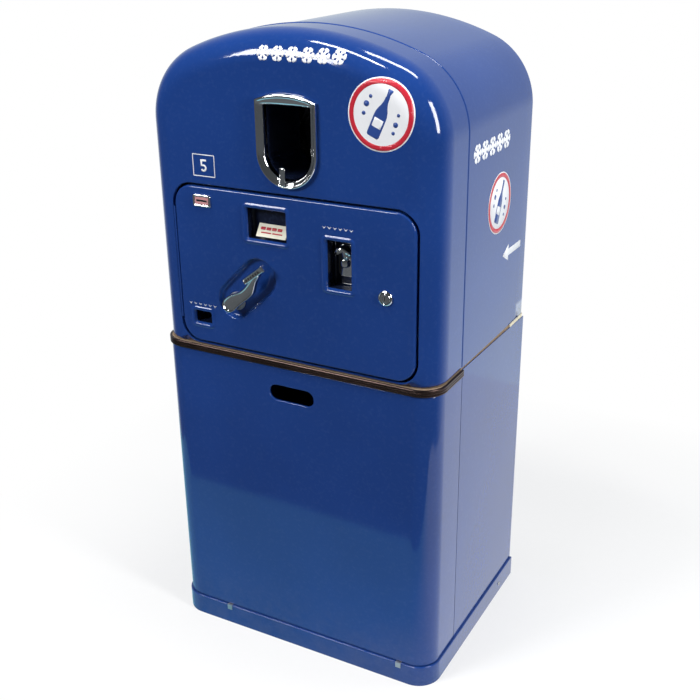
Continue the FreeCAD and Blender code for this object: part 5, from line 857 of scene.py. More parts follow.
# The bead round each opening: distance from the opening and height over the panel
BEADS = ((0.0115, 0.0), (0.0102, 0.00030), (0.0090, 0.00120), (0.0078, 0.00190),
         (0.0062, 0.00225), (0.0048, 0.00215), (0.0034, 0.00160), (0.0020, 0.00030),
         (0.0005, -0.0018), (0.0, -0.0034), (0.0, -0.0050))
RECESS = (-0.125, 0.806, 0.037, -0.066, 0.862, 0.040)
RECESS_DEPTH = 0.011
RECESS_LIP = 0.0030
CRANK_X, CRANK_Z = -0.125, 0.803
CRANK_HOLE = 0.011
LOCK_X, LOCK_Z = 0.2137, 0.8675
LOCK_HOLE = 0.01105
SLOT_X, SLOT_Z = -0.1885, 1.0045
SHELF_LEFT, SHELF_RIGHT, SHELF_Z = -0.104, 0.164, 0.713
CUP_WALL = 0.0012
OPENER_DEPTH = 0.034


def make_tray():
    """The coin panel's face with its folded rim, and the shelf behind it."""
    skin = Skin()
    rings = [placed(rounded(*TRAY), FACE + COIN_RIM)]
    rings += [placed(rounded(*grown(TRAY, -inset)), FACE + drop)
              for inset, drop in bend(COIN_EDGE, 6)]
    rim = skin.stack(rings)
    holes = []
    for left, low, right, high, radius in (CARD, RETURN, OPENER):
        rings = []
        for margin, height in BEADS:
            outline = rounded(left - margin, low - margin, right + margin, high + margin,
                              radius + margin * 0.75, 7)
            rings.append(placed(outline, FACE - height))
        holes.append(skin.stack(rings)[0])
    x1, z1, r1, x2, z2, r2 = RECESS
    half = RECESS_DEPTH / 2
    profile = [(down, inwards) for inwards, down in bend(RECESS_LIP, 5)]
    profile += [(-0.0006, half)]
    profile += [(-0.0008 - inwards, half + half - down) for inwards, down in bend(half, 5)]
    recess = skin.stack(placed(tapered(x1, z1, r1 + margin, x2, z2, r2 + margin, 22), FACE + depth)
                        for margin, depth in profile)
    holes.append(recess[0])
    collar_hole = skin.row(placed(circle(CRANK_X, CRANK_Z, CRANK_HOLE, 32), FACE + RECESS_DEPTH))
    skin.fill(recess[-1], [collar_hole])
    slot = rounded(SLOT_X - 0.0175, SLOT_Z - 0.009, SLOT_X + 0.0175, SLOT_Z + 0.009, 0.003, 4)
    holes.append(skin.row(placed(slot, FACE)))
    holes.append(skin.row(placed(circle(LOCK_X, LOCK_Z, LOCK_HOLE, 32), FACE)))
    skin.fill(rim[-1], holes)
    front = sheet_piece("coin_tray", skin, DOOR_SHEET, "coin_panel", "blue_enamel")
    shelf = Skin()
    low, high = FACE + 0.001, TRAY_HIGH.y
    corners = ((SHELF_LEFT, low), (SHELF_RIGHT, low), (SHELF_RIGHT, high), (SHELF_LEFT, high))
    under, over = [shelf.row([(x, y, z) for x, y in corners])
                   for z in (SHELF_Z, SHELF_Z + DOOR_SHEET)]
    shelf.cap(under)
    shelf.cap(over)
    shelf.band(under, over)
    board = thing_of("shelf", shelf.mesh("shelf"))
    return joined("coin_tray_and_shelf", [front, board], "coin_panel", "blue_enamel",
                  ("coin_panel",))


def make_cup(name, opening, depth, node):
    """A deep-drawn cup behind an opening, with a rounded floor."""
    skin = Skin()
    left, low, right, high, radius = opening
    rings = [placed(rounded(*grown(opening, margin)), FACE + drop)
             for margin, drop in ((0.005, 0.0036), (0.0006, 0.0038), (0.0, 0.0048))]
    rear = FACE + depth - CUP_WALL
    for inset, drop in bend(min(0.004, (high - low) / 4), 4):
        shrunk = rounded(left + inset, low + inset, right - inset, high - inset,
                         max(radius - inset, 0.0004))
        rings.append(placed(shrunk, rear - drop))
    skin.fill(skin.stack(rings)[-1])
    mesh = skin.mesh(name)
    facing(mesh, FRONTWARDS, [max(mesh.polygons, key=lambda face: face.center.y)])
    thing = settled(walled(thing_of(name, mesh), CUP_WALL))
    return dressed(thing, "coin_panel", "dark_cup", nodes=(node,))


make_tray()
make_cup("card_pocket", CARD, 0.024, "card_frame")
make_cup("return_pocket", RETURN, 0.042, "coin_return_cup")
make_cup("opener_pocket", OPENER, OPENER_DEPTH, "opener_recess")


# Bright pieces
def filled(name, rings, angle):
    """A closed piece from rings of points, filled over the last and the first."""
    skin = Skin()
    rows = skin.stack(rings)
    skin.fill(rows[-1])
    skin.fill(rows[0])
    return built(name, skin, angle)


def turned_rings(x, z, profile, steps=48):
    """Rings of points about an axis along Y, from a profile of (radius, y)."""
    return [placed(circle(x, z, radius, steps), y) for radius, y in profile]


# The frame's front and back: share of the way in, and depth from the door's face
BEZEL_RISE = (
    (0.000, -0.5), (0.000, -4.2), (0.030, -6.4), (0.080, -8.0), (0.150, -8.9), (0.230, -9.0),
    (0.300, -8.7), (0.350, -7.6), (0.420, -6.9), (0.520, -6.5), (0.620, -6.2), (0.720, -5.4),
    (0.820, -4.0), (0.900, -2.2), (0.960, -0.4), (0.990, 1.6), (1.000, 4.0), (1.000, 9.0))
BEZEL_BACK = ((0.93, 9.0), (0.93, 1.0), (0.55, -3.5), (0.12, -4.0), (0.08, -0.5))


def make_bezel():
    """The port's frame: a round outer bead, a channel and a slope down into the sleeve."""
    skin = Skin()
    outer = port(PORT_BAND, PORT_HEAD, PORT_CROWN, 40, 16, 28)
    inner = port(PORT_HALF, PORT_TOP, 0.0, 40, 16, 28)
    rows = [skin.row([(x1 + (x2 - x1) * share, FRONT + depth / 1000, z1 + (z2 - z1) * share)
                      for (x1, z1), (x2, z2) in zip(outer, inner)])
            for share, depth in BEZEL_RISE + BEZEL_BACK]
    skin.bands([*rows, rows[0]])
    return solid_piece("port_frame", skin, "upper_door", "chrome", ("port_bezel",), 40.0)


def make_sleeve():
    """The dark sleeve through the door, from the bezel to the tank's mouth."""
    skin = Skin()
    low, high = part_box("port_sleeve")
    depths = (low.y + 0.010, (low.y + high.y) / 2, high.y)
    inner, outer = [
        skin.stack(placed(port(PORT_HALF + wall, PORT_TOP + wall, 0.0, 32), y) for y in depths)
        for wall in (0.0, CUP_WALL)]
    skin.band(inner[0], outer[0])
    skin.band(inner[-1], outer[-1])
    return solid_piece("port_tunnel", skin, "upper_door", "dark_cup", ("port_sleeve",))


def smooth_loop(points, steps):
    """A closed curve through points of a plane, with a number of steps from one to the next."""
    made = []
    count = len(points)
    for place in range(count):
        p0, p1, p2, p3 = (Vector(points[(place + shift) % count]) for shift in (-1, 0, 1, 2))
        for step in range(steps):
            t = step / steps
            made.append(0.5 * (2 * p1 + (p2 - p0) * t + (2 * p0 - 5 * p1 + 4 * p2 - p3) * t ** 2
                               + (3 * p1 - p0 - 3 * p2 + p3) * t ** 3))
    return made


def inwards(loop, margin):
    """A closed plane curve moved in by a margin."""
    made = []
    for place, point in enumerate(loop):
        run = loop[(place + 1) % len(loop)] - loop[place - 1]
        made.append(point + Vector((-run.y, run.x)).normalized() * margin)
    return made


# The hand lever, in millimetres along the grip from its shaft and aside to its upper left
LEVER_LOOP = (
    (-15.0, 0.0), (-11.0, -10.2), (0.0, -15.0), (16.0, -15.6), (34.0, -17.4), (52.0, -19.4),
    (65.0, -18.8), (76.0, -13.6), (88.0, -7.6), (99.0, -5.0), (105.0, -2.6), (105.6, 2.0),
    (99.0, 5.2), (86.0, 4.8), (72.0, 3.4), (58.0, 2.0), (44.0, 3.6), (30.0, 9.0), (15.0, 14.0),
    (0.0, 15.0), (-11.0, 10.2))
LEVER_WAY = Vector((83.0, 85.0)).normalized()
LEVER_BACK = FACE - 0.011
# Margin in from each outline, and depth from the grip's back
LEVER_RINGS = (
    (3.0, 0.0), (0.8, 0.0), (0.2, -0.9), (0.0, -2.4), (0.0, -9.0), (0.25, -10.8), (0.9, -11.7),
    (1.7, -12.0), (2.6, -11.7), (3.1, -10.8), (3.5, -9.6), (4.1, -9.0))
PLATE_START, PLATE_STOP = Vector((69.0, 9.6)), Vector((126.6, 1.1))
PLATE_LONG = (PLATE_STOP - PLATE_START).length
PLATE_RUN = (PLATE_STOP - PLATE_START).normalized()
PLATE_ACROSS = Vector((-PLATE_RUN.y, PLATE_RUN.x))
PLATE_HALF = 5.5
PLATE_SINK = 14.0
PLATE_RINGS = ((0.0, -4.0), (0.0, -13.4), (0.25, -14.4), (0.9, -15.0), (1.6, -15.0), (1.9, -14.6),
               (2.0, -PLATE_SINK))
CAP_HALF = 6.3
CAP_START, CAP_PROUD = 6.0, 0.6
CAP_RINGS = ((0.0, -13.0), (0.0, -15.0), (0.6, -15.9), (1.6, -16.2))
LEVER_CORNER = 1.8


def on_lever(along, aside, depth):
    """A point of the grip, in millimetres, at a depth from its back."""
    return (CRANK_X + (LEVER_WAY.x * along - LEVER_WAY.y * aside) / 1000, LEVER_BACK + depth / 1000,
            CRANK_Z + (LEVER_WAY.y * along + LEVER_WAY.x * aside) / 1000)


def on_plate(outline, depth):
    """An outline on the grip's plate, along it and across it."""
    return [on_lever(*(PLATE_START + PLATE_RUN * u + PLATE_ACROSS * v), depth) for u, v in outline]


def make_lever():
    """The cast grip: a bright rim round a dished front, a neck, and a framed plate."""
    loop = smooth_loop(LEVER_LOOP, 6)
    body = filled("lever_body", [[on_lever(*point, depth) for point in inwards(loop, margin)]
                                 for margin, depth in LEVER_RINGS], 50.0)
    neck = Skin()
    rows = neck.stack(turned_rings(CRANK_X, CRANK_Z, (
        (0.0125, LEVER_BACK + 0.0002), (0.0115, LEVER_BACK + 0.0012),
        (0.0110, LEVER_BACK + 0.0030), (0.0110, FACE + 0.0017)), 40))
    neck.cap(rows[0])
    neck.cap(rows[-1])
    collar = built("lever_neck", neck)
    bar = filled("lever_plate", [
        on_plate(rounded(margin, margin - PLATE_HALF, PLATE_LONG - margin, PLATE_HALF - margin,
                         max(LEVER_CORNER - margin, 0.15), 4), depth)
        for margin, depth in PLATE_RINGS], 40.0)
    end = filled("lever_cap", [
        on_plate(rounded(PLATE_LONG - CAP_START + margin, margin - CAP_HALF,
                         PLATE_LONG + CAP_PROUD - margin, CAP_HALF - margin,
                         LEVER_CORNER - margin * 0.5, 4), depth)
        for margin, depth in CAP_RINGS], 40.0)
    return joined("cast_grip", [body, collar, bar, end], "crank", "chrome", ("crank_lever",))


def make_collar():
    """The steel collar at the floor of the crank's recess."""
    skin = Skin()
    floor = FACE + RECESS_DEPTH
    rows = skin.stack(turned_rings(CRANK_X, CRANK_Z, (
        (0.0085, floor), (0.0085, floor - 0.0080), (0.0100, floor - 0.0090),
        (0.0150, floor - 0.0090), (0.0166, floor - 0.0085), (0.0172, floor - 0.0070),
        (0.0174, floor - 0.0045), (0.0182, floor - 0.0040), (0.0190, floor - 0.0030),
        (0.0190, floor - 0.0004), (0.0186, floor))))
    skin.band(rows[-1], rows[0])
    return solid_piece("crank_collar_look", skin, "coin_panel", "steel", ("crank_collar",))


def make_lock():
    """The lock's flange: a rolled rim, a groove and a raised ring round the plug. The groove's dark
    is painted shade, a black ring printed into it with the marks.
    """
    skin = Skin()
    front = FACE - 0.0040
    rows = skin.stack(turned_rings(LOCK_X, LOCK_Z, (
        (0.0081, FACE + 0.010), (0.0081, front + 0.0006), (0.0086, front), (0.0098, front),
        (0.0103, front + 0.0006), (0.0106, front + 0.0016), (0.0112, front + 0.0016),
        (0.0116, front + 0.0005), (0.0124, front - 0.0001), (0.0138, front + 0.0005),
        (0.0147, front + 0.0018), (0.0150, front + 0.0034), (0.0150, FACE), (0.0110, FACE + 0.0001),
        (0.0110, FACE + 0.0140), (0.0081, FACE + 0.0140))))
    skin.band(rows[-1], rows[0])
    return solid_piece("lock_rim", skin, "coin_panel", "chrome", ("lock_barrel",), 34.0)


def make_slot_plate():
    """The coin slot's cast frame with its sunk middle, and a coloured label in it."""
    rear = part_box("coin_slot_bezel")[1].y
    front = FACE - 0.0035
    sunk = front + 0.0013
    label_y = front + 0.0011

    def ring(half_wide, half_tall, radius, y, steps=6):
        return placed(rounded(SLOT_X - half_wide, SLOT_Z - half_tall, SLOT_X + half_wide,
                              SLOT_Z + half_tall, radius, steps), y)

    def frame_ring(margin, radius, y, steps=6):
        return ring(0.021 - margin, 0.0125 - margin, radius, y, steps)

    skin = Skin()
    rows = skin.stack(
        frame_ring(margin, max(0.005 - margin, 0.0014), y)
        for margin, y in ((0.0, FACE), (0.0, front + 0.0018), (0.0005, front + 0.0007),
                          (0.0014, front + 0.0001), (0.0026, front), (0.0034, front + 0.0003),
                          (0.0040, front + 0.0011), (0.0044, sunk)))
    mouth = skin.stack(ring(0.012, 0.0013, 0.0011, y, 4) for y in (sunk, rear))
    skin.fill(rows[-1], [mouth[0]])
    spigot = skin.stack(frame_ring(0.0036, 0.0029, y) for y in (FACE, rear))
    skin.fill(rows[0], [spigot[0]])
    skin.fill(spigot[1], [mouth[1]])
    solid_piece("slot_frame", skin, "coin_panel", "chrome", ("coin_slot_bezel",), 40.0)
    face = Skin()
    edge = face.row(frame_ring(0.0052, 0.0014, label_y, 4))
    face.fill(edge, [face.row(ring(0.0128, 0.0020, 0.0016, label_y, 4))])
    mesh = face.mesh("slot_label")
    face_out(mesh)
    label = settled(walled(thing_of("slot_label", mesh), 0.0002))
    return dressed(label, "coin_panel", "rose_ink")


OPENER_STEPS = 26


def make_opener():
    """The opener: a back plate with a boss, and a bowed hook over the bottle's cap."""
    x, z = (OPENER[0] + OPENER[2]) / 2, OPENER[3] - 0.030
    wall = FACE + OPENER_DEPTH - CUP_WALL
    plate_y = wall - 0.003
    boss_z = z - 0.018
    skin = Skin()
    rows = skin.stack(
        placed(rounded(x - 0.017 + margin, z - 0.046 + margin, x + 0.017 - margin,
                       z + 0.017 - margin, 0.0085 - margin, 8), y)
        for margin, y in ((0.0, wall - 0.0001), (0.0, plate_y + 0.0010), (0.0010, plate_y)))
    skin.fill(rows[0])
    boss = skin.stack(turned_rings(x, boss_z, (
        (0.0105, plate_y), (0.0100, plate_y - 0.0015), (0.0092, plate_y - 0.0060),
        (0.0080, plate_y - 0.0085), (0.0060, plate_y - 0.0095)), 32))
    skin.fan(boss[-1], (x, plate_y - 0.0098, boss_z))
    skin.fill(rows[-1], [boss[0]])
    base = built("opener_plate", skin, 40.0)
    hook = Skin()
    sections = []
    for step in range(OPENER_STEPS + 1):
        share = step / OPENER_STEPS
        angle = math.radians(188 - 196 * share)
        out = math.sin(math.pi * share)
        flick = 0.0022 * (1 - out) ** 2
        outer, inner = 0.0168 + flick, 0.0128 + flick * 0.3
        tip = plate_y - 0.010 - 0.012 * out ** 0.6
        sections.append([
            (x + radius * math.cos(angle), y, z + radius * math.sin(angle))
            for radius, y in ((inner, plate_y), (inner, tip + 0.0015), (inner - 0.0016, tip),
                              (inner - 0.0012, tip - 0.0012), (inner + 0.0012, tip - 0.0014),
                              (outer - 0.0006, tip), (outer, tip + 0.0022), (outer, plate_y))])
    rows = hook.stack(sections)
    hook.cap(rows[0])
    hook.cap(reversed(rows[-1]))
    claw = built("opener_hook", hook, 50.0)
    return joined("opener_casting", [base, claw], "coin_panel", "chrome", ("bottle_opener",))


make_bezel()
make_sleeve()
make_lever()
make_collar()
make_lock()
make_slot_plate()
make_opener()
smooth_copy("port_post", "upper_door", "chrome", 0.0009)


# Printed marks, laid on the surfaces
def on_door(x, z, lift):
    """A point over the door's face, out along the face's normal."""
    depth = door_depth(inset_at(x, z))
    step = 0.0005
    normal = Vector((
        (door_depth(inset_at(x + step, z)) - door_depth(inset_at(x - step, z))) / (2 * step), -1.0,
        (door_depth(inset_at(x, z + step)) - door_depth(inset_at(x, z - step))) / (2 * step)))
    return Vector((x, depth, z)) + normal.normalized() * lift


def on_tray(x, z, lift):
    return Vector((x, FACE - lift, z))


def on_side(x, z, lift):
    """A point over the cabinet's right side; x counts from the middle of the side, rearwards."""
    return Vector((CASE_HIGH.x + lift, x, z))


def on_grip(x, z, lift):
    """A point over the sunk field of the grip's plate."""
    return Vector(on_plate([(x * 1000, z * 1000)], -PLATE_SINK - lift * 1000)[0])


PLUG_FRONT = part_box("lock_plug")[0].y
PLUG_RADIUS = 0.008
GROOVE_PROUD = 0.0024


def on_lock(x, z, lift):
    """A point over the lock's plug or the groove of its rim."""
    groove = math.hypot(x - LOCK_X, z - LOCK_Z) > PLUG_RADIUS
    return Vector((x, (FACE - GROOVE_PROUD if groove else PLUG_FRONT) - lift, z))


def card_face():
    """The middle and the outward normal of the price card's upper face."""
    card = frame["nodes"]["price_card"]
    faces = [face for face in card.data.polygons if face.normal.y < -0.3]
    face = max(faces, key=lambda one: one.area)
    normal = (card.matrix_world.to_3x3() @ face.normal).normalized()
    corners = [card.matrix_world @ card.data.vertices[corner].co
               for one in faces for corner in one.vertices
               if one.normal.dot(face.normal) > 0.99]
    low, high = corners_of(corners)
    return (low + high) / 2, normal


def corners_of(points):
    """The low and high corners of the box round some points."""
    return [Vector([pick(point[axis] for point in points) for axis in range(3)])
            for pick in (min, max)]


CARD_MIDDLE, CARD_NORMAL = card_face()


def on_card(x, z, lift):
    """A point over the price card, from its middle."""
    up = CARD_NORMAL.cross(Vector((1, 0, 0)))
    if up.z < 0:
        up = -up
    return CARD_MIDDLE + Vector((x, 0, 0)) + up * z + CARD_NORMAL * lift


def inside(outline, x, z):
    """Whether a point lies in a closed outline."""
    crossings = 0
    for (x1, z1), (x2, z2) in zip(outline, outline[1:] + outline[:1]):
        if (z1 > z) != (z2 > z) and x < x1 + (z - z1) * (x2 - x1) / (z2 - z1):
            crossings += 1
    return crossings % 2 == 1


MARK_PITCH = 0.004
INK = 0.00012
INK_LIFT = 0.00005


def printed(name, shapes, surface, body, finish, layer=1):
    """Flat shapes, each an outline with its holes, wrapped over a surface as a film of ink."""
    skin = Skin()
    for outer, *holes in shapes:
        flat = Skin()
        loops = [flat.row(placed(loop, 0.0)) for loop in (outer, *holes)]
        xs, zs = zip(*outer)
        grid = []
        if surface is on_door:
            for column in range(1, int((max(xs) - min(xs)) / MARK_PITCH)):
                for line in range(1, int((max(zs) - min(zs)) / MARK_PITCH)):
                    x, z = min(xs) + column * MARK_PITCH, min(zs) + line * MARK_PITCH
                    if inside(outer, x, z) and not any(inside(hole, x, z) for hole in holes):
                        grid.append((x, 0.0, z))
        flat.fill(loops[0], loops[1:], flat.row(grid))
        first = len(skin.points)
        skin.row([surface(point.x, point.z, INK * layer + INK_LIFT) for point in flat.points])
        skin.faces += [tuple(first + corner for corner in face) for face in flat.faces]
    mesh = skin.mesh(name, 1e-7)
    outwards = Vector((1, 0, 0)) if surface is on_side else FRONTWARDS
    turned_over = bmesh.new()
    turned_over.from_mesh(mesh)
    bmesh.ops.reverse_faces(turned_over, faces=[
        face for face in turned_over.faces if face.normal.dot(outwards) < 0])
    turned_over.to_mesh(mesh)
    turned_over.free()
    mark = settled(walled(thing_of(name, mesh), INK * 0.8), 40.0, False)
    return dressed(mark, body, finish)


def turned_shape(points, x, z, angle, size=1.0):
    """A shape about its own middle, turned, scaled and placed."""
    cos, sin = math.cos(math.radians(angle)), math.sin(math.radians(angle))
    return [(x + size * (u * cos - v * sin), z + size * (u * sin + v * cos)) for u, v in points]


def spread(left, right, count):
    """The middles of equal lengths between two ends."""
    return [left + (right - left) * (place + 0.5) / count for place in range(count)]


def crystal(x, z, radius, width):
    """A snow crystal: six arms, each with a pair of twigs."""
    half = width / 2
    twig, start = radius * 0.30, radius * 0.56
    slope = math.sqrt(3) / 2
    side = [(start, half), (start + twig / 2, half + twig * slope),
            (start + twig / 2 + width * slope, half + twig * slope - half),
            (start + width * 1.15, half), (radius, half)]
    arm = [(u, -v) for u, v in side] + list(reversed(side))
    outline = []
    for turn in range(6):
        outline += turned_shape(arm, x, z, 60 * turn)
        outline += turned_shape([(width, 0.0)], x, z, 60 * turn + 30)
    return outline


# The right flank of a bottle, in millimetres
FLANK = ((4.6, 52.0), (5.2, 51.0), (5.2, 48.0), (4.4, 47.0), (4.4, 33.0), (5.0, 26.0),
         (7.4, 18.0), (11.2, 10.0), (13.2, 2.0), (13.6, -6.0), (13.6, -40.0), (12.6, -44.0),
         (10.0, -46.0))
BUBBLES = ((-0.030, 0.020, 0.0058), (-0.021, 0.034, 0.0036), (-0.036, 0.002, 0.0040),
           (0.031, -0.016, 0.0052), (0.037, 0.002, 0.0034), (0.026, -0.032, 0.0036))


def badge(name, x, z, radius, surface, body):
    """A round mark: a white field in a red ring, a tilted bottle and rising bubbles."""
    tilt, shrink = -24.0, radius / 0.064 * 0.92
    right = [(u / 1000, v / 1000) for u, v in FLANK]
    drawn = turned_shape(right + mirrored(right), x, z, tilt, shrink)
    label = turned_shape([(-0.0100, -0.026), (0.0100, -0.026), (0.0100, -0.008), (-0.0100, -0.008)],
                         x, z, tilt, shrink)
    drops = [[circle(x + u * shrink, z + v * shrink, r * shrink, 20)] for u, v, r in BUBBLES]
    printed(name + "_field", [[circle(x, z, radius, 72)]], surface, body, "white_ink", 1)
    printed(name + "_ring", [[circle(x, z, radius * 0.965, 72), circle(x, z, radius * 0.83, 72)]],
            surface, body, "red_ink", 2)
    printed(name + "_bottle", [[drawn], *drops], surface, body, "blue_ink", 2)
    printed(name + "_label", [[label]], surface, body, "white_ink", 3)


def five(x, z, height):
    """The plain number 5 in one outline, from its middle."""
    stroke, half, bowl, top = (height * share for share in (0.16, 0.30, 0.30, 0.50))
    middle = bowl - top
    outer = turn_points(-half * 0.1, middle, bowl, -150, 115, 18)
    inner = turn_points(-half * 0.1, middle, bowl - stroke, 115, -150, 18)
    spine_x = -half * 0.1 + bowl * math.cos(math.radians(115))
    outline = outer + [(spine_x + stroke * 0.35, top - stroke), (half * 0.85, top - stroke),
                       (half * 0.85, top), (spine_x - stroke * 0.8, top),
                       (spine_x - stroke * 0.8, middle + bowl * 0.45)] + inner
    return [(x + u, z + v) for u, v in outline]


def arrow(x, z, length, height):
    """A plain arrow that points forwards on the side of the cabinet."""
    head, half = length / 2 - height * 0.9, length / 2
    shape = [(-half, -height * 0.2), (head, -height * 0.2), (head, -height / 2), (half, 0.0),
             (head, height / 2), (head, height * 0.2), (-half, height * 0.2)]
    return [(x - u, z + v) for u, v in shape]


def chevrons(left, right, z):
    """A row of small marks that point down."""
    size = 0.0042
    return [[[(x - size, z + size * 0.5), (x, z - size * 0.2), (x + size, z + size * 0.5),
              (x, z - size * 0.75)]] for x in spread(left, right, 6)]


def bar(left, low, right, high, corner):
    return [rounded(left, low, right, high, corner, 2)]


printed("front_crystals", [[crystal(x, 1.292, 0.0135, 0.0042)] for x in spread(-0.050, 0.134, 6)],
        on_door, "upper_door", "white_ink")
printed("side_crystals", [[crystal(y, 1.1095, 0.0185, 0.0060)] for y in spread(-0.084, 0.104, 5)],
        on_side, "cabinet", "white_ink")
badge("front_badge", 0.203, 1.200, 0.064, on_door, "upper_door")
badge("side_badge", 0.062, 0.986, 0.062, on_side, "cabinet")
printed("side_arrow", [[arrow(0.1455, 0.8665, 0.105, 0.036)]], on_side, "cabinet", "white_ink")
PRICE_BOX = (-0.2055, 1.0527, -0.154, 1.096, 0.001)
printed("price_box", [bar(*PRICE_BOX) + bar(*grown(PRICE_BOX, -0.0016)[:4], 0.0004)], on_door,
        "upper_door", "white_ink")
printed("price_number", [[five(-0.1798, 1.0743, 0.024)]], on_door, "upper_door", "white_ink")
printed("return_marks", chevrons(-0.240, -0.168, 0.7855), on_tray, "coin_panel", "white_ink")
printed("card_bars",
        [bar(left, 0.0008, left + 0.0105, 0.0068, 0.0008)
         for left in (-0.0265, -0.0140, -0.0015, 0.0110)]
        + [bar(left, -0.0060, left + 0.0225, -0.0035, 0.0006) for left in (-0.0240, 0.0015)],
        on_card, "coin_panel", "red_ink")
printed("opener_marks", chevrons(0.080, 0.149, 0.9865), on_tray, "coin_panel", "white_ink")
printed("grip_bars", [bar(left / 1000, -0.0024, (left + 4.2) / 1000, 0.0024, 0.0004)
                      for left in (6, 13, 20, 27, 34, 41)], on_grip, "crank", "black_paint")
# Painted shade: a black ring and slot on the plug stand for the dark of the key slot and the gap
# round it.
printed("keyhole", [[circle(LOCK_X, LOCK_Z, 0.0056), circle(LOCK_X, LOCK_Z, 0.0048)],
                    [rounded(LOCK_X - 0.0009, LOCK_Z - 0.0034, LOCK_X + 0.0009, LOCK_Z + 0.0034,
                             0.0004, 3)]], on_lock, "lock_plug", "black_paint")
# Painted shade: a black ring laid on the floor of the lock rim's groove.
printed("lock_groove", [[circle(LOCK_X, LOCK_Z, 0.0112), circle(LOCK_X, LOCK_Z, 0.0103)]],
        on_lock, "coin_panel", "black_paint")


# Repeated pieces, built as geometry nodes
class Grove(Net):
    """A geometry node tree with named inputs."""

    SOCKETS = {"count": "NodeSocketInt", "size": "NodeSocketFloat", "vector": "NodeSocketVector",
               "material": "NodeSocketMaterial"}

    def __init__(self, name, **inputs):
        tree = bpy.data.node_groups.new(name, "GeometryNodeTree")
        face = tree.interface
        face.new_socket("Geometry", in_out="INPUT", socket_type="NodeSocketGeometry")
        self.keys = {}
        for label, kind in inputs.items():
            socket = face.new_socket(label, in_out="INPUT", socket_type=self.SOCKETS[kind])
            self.keys[label] = socket.identifier
        face.new_socket("Geometry", in_out="OUTPUT", socket_type="NodeSocketGeometry")
        super().__init__(tree, "NodeGroupOutput")
        self.start = tree.nodes.new("NodeGroupInput")

    def get(self, label):
        return Wire(self, self.start.outputs[label])

    def finish(self, geometry):
        """Ends the tree in real geometry with its material set."""
        real = self.node("GeometryNodeRealizeInstances", None, {0: geometry})
        self.feed(self.end.inputs[0], self.node("GeometryNodeSetMaterial", None, {
            "Geometry": real, "Material": self.get("Material")}))
        return self

    def applied(self, thing, **values):
        """Runs the tree on a piece and keeps the result as its plain mesh."""
        pattern = thing.modifiers.new("pattern", "NODES")
        pattern.node_group = self.tree
        for label, value in values.items():
            pattern[self.keys[label]] = value
        return settled(thing, 32.0, False)


def lattice_tree():
    """Copies of a piece on three nested rows, each with a count and a step."""
    tree = Grove("lattice", **{
        "Count A": "count", "Step A": "vector", "Count B": "count", "Step B": "vector",
        "Count C": "count", "Step C": "vector", "Material": "material"})
    geometry = tree.get("Geometry")
    for letter in "ABC":
        line = tree.node("GeometryNodeMeshLine", {"mode": "OFFSET"}, {
            "Count": tree.get("Count " + letter), "Offset": tree.get("Step " + letter)})
        copies = tree.node("GeometryNodeInstanceOnPoints", None, {
            "Points": line, "Instance": geometry})
        geometry = tree.node("GeometryNodeRealizeInstances", None, {0: copies})
    return tree.finish(geometry)


def wheel_tree():
    """Copies of a piece turned evenly about the Y axis through a centre."""
    tree = Grove("wheel", **{
        "Count": "count", "Start": "size", "Step": "size", "Centre": "vector",
        "Material": "material"})
    line = tree.node("GeometryNodeMeshLine", {"mode": "OFFSET"}, {
        "Count": tree.get("Count"), "Offset": (0.0, 0.0, 0.0)})
    turn = tree.node("GeometryNodeInputIndex") * tree.get("Step") + tree.get("Start")
    copies = tree.node("GeometryNodeInstanceOnPoints", None, {
        "Points": line, "Instance": tree.get("Geometry"),
        "Rotation": tree.node("ShaderNodeCombineXYZ", None, {"Y": turn})})
    real = tree.node("GeometryNodeRealizeInstances", None, {0: copies})
    return tree.finish(tree.node("GeometryNodeTransform", None, {
        "Geometry": real, "Translation": tree.get("Centre")}))


def scatter_tree(piece):
    """A piece put on each point, with its Z axis along the point's own way."""
    tree = Grove("scatter", Material="material")
    held = tree.node("GeometryNodeInputNamedAttribute", {"data_type": "FLOAT_VECTOR"}, {
        "Name": "way"})
    turned_to = tree.node("FunctionNodeAlignRotationToVector", {"axis": "Z"}, {"Vector": held})
    source = tree.node("GeometryNodeObjectInfo", None, {"Object": piece}, "Geometry")
    return tree.finish(tree.node("GeometryNodeInstanceOnPoints", None, {
        "Points": tree.get("Geometry"), "Instance": source, "Rotation": turned_to}))


LATTICE = lattice_tree()
WHEEL = wheel_tree()


def lattice(name, skin, rows, body, finish, wall=0.0):
    """A small piece repeated on up to three rows: each row is a count and a step."""
    mesh = skin.mesh(name)
    thing = thing_of(name, mesh)
    if wall:
        facing(mesh, REARWARDS)
        walled(thing, wall)
    settled(thing, 40.0, False)
    rows = [*rows, *[(1, (0.0, 0.0, 0.0))] * (3 - len(rows))]
    values = {"Material": FINISHES[finish]}
    for letter, (count, step) in zip("ABC", rows):
        values["Count " + letter] = count
        values["Step " + letter] = step
    return dressed(LATTICE.applied(thing, **values), body, finish)


# Louvre hoods over the slots of the rear panel
LOUVRE_COUNT = 9
LOUVRE_PITCH = 0.020
LOUVRE_LOW = 0.118
LOUVRE_LONG = 0.210
LOUVRE_TALL = 0.007
LOUVRE_SIDE = 0.020
LOUVRE_OVER = 0.002
LOUVRE_REACH, LOUVRE_RISE = 0.0042, 0.0105
LOUVRE_END = 0.009
LOUVRE_WALL = 0.0008
LOUVRE_FROM_TOP = 0.070
LOUVRE_STEPS, LOUVRE_TURNS = 32, 7


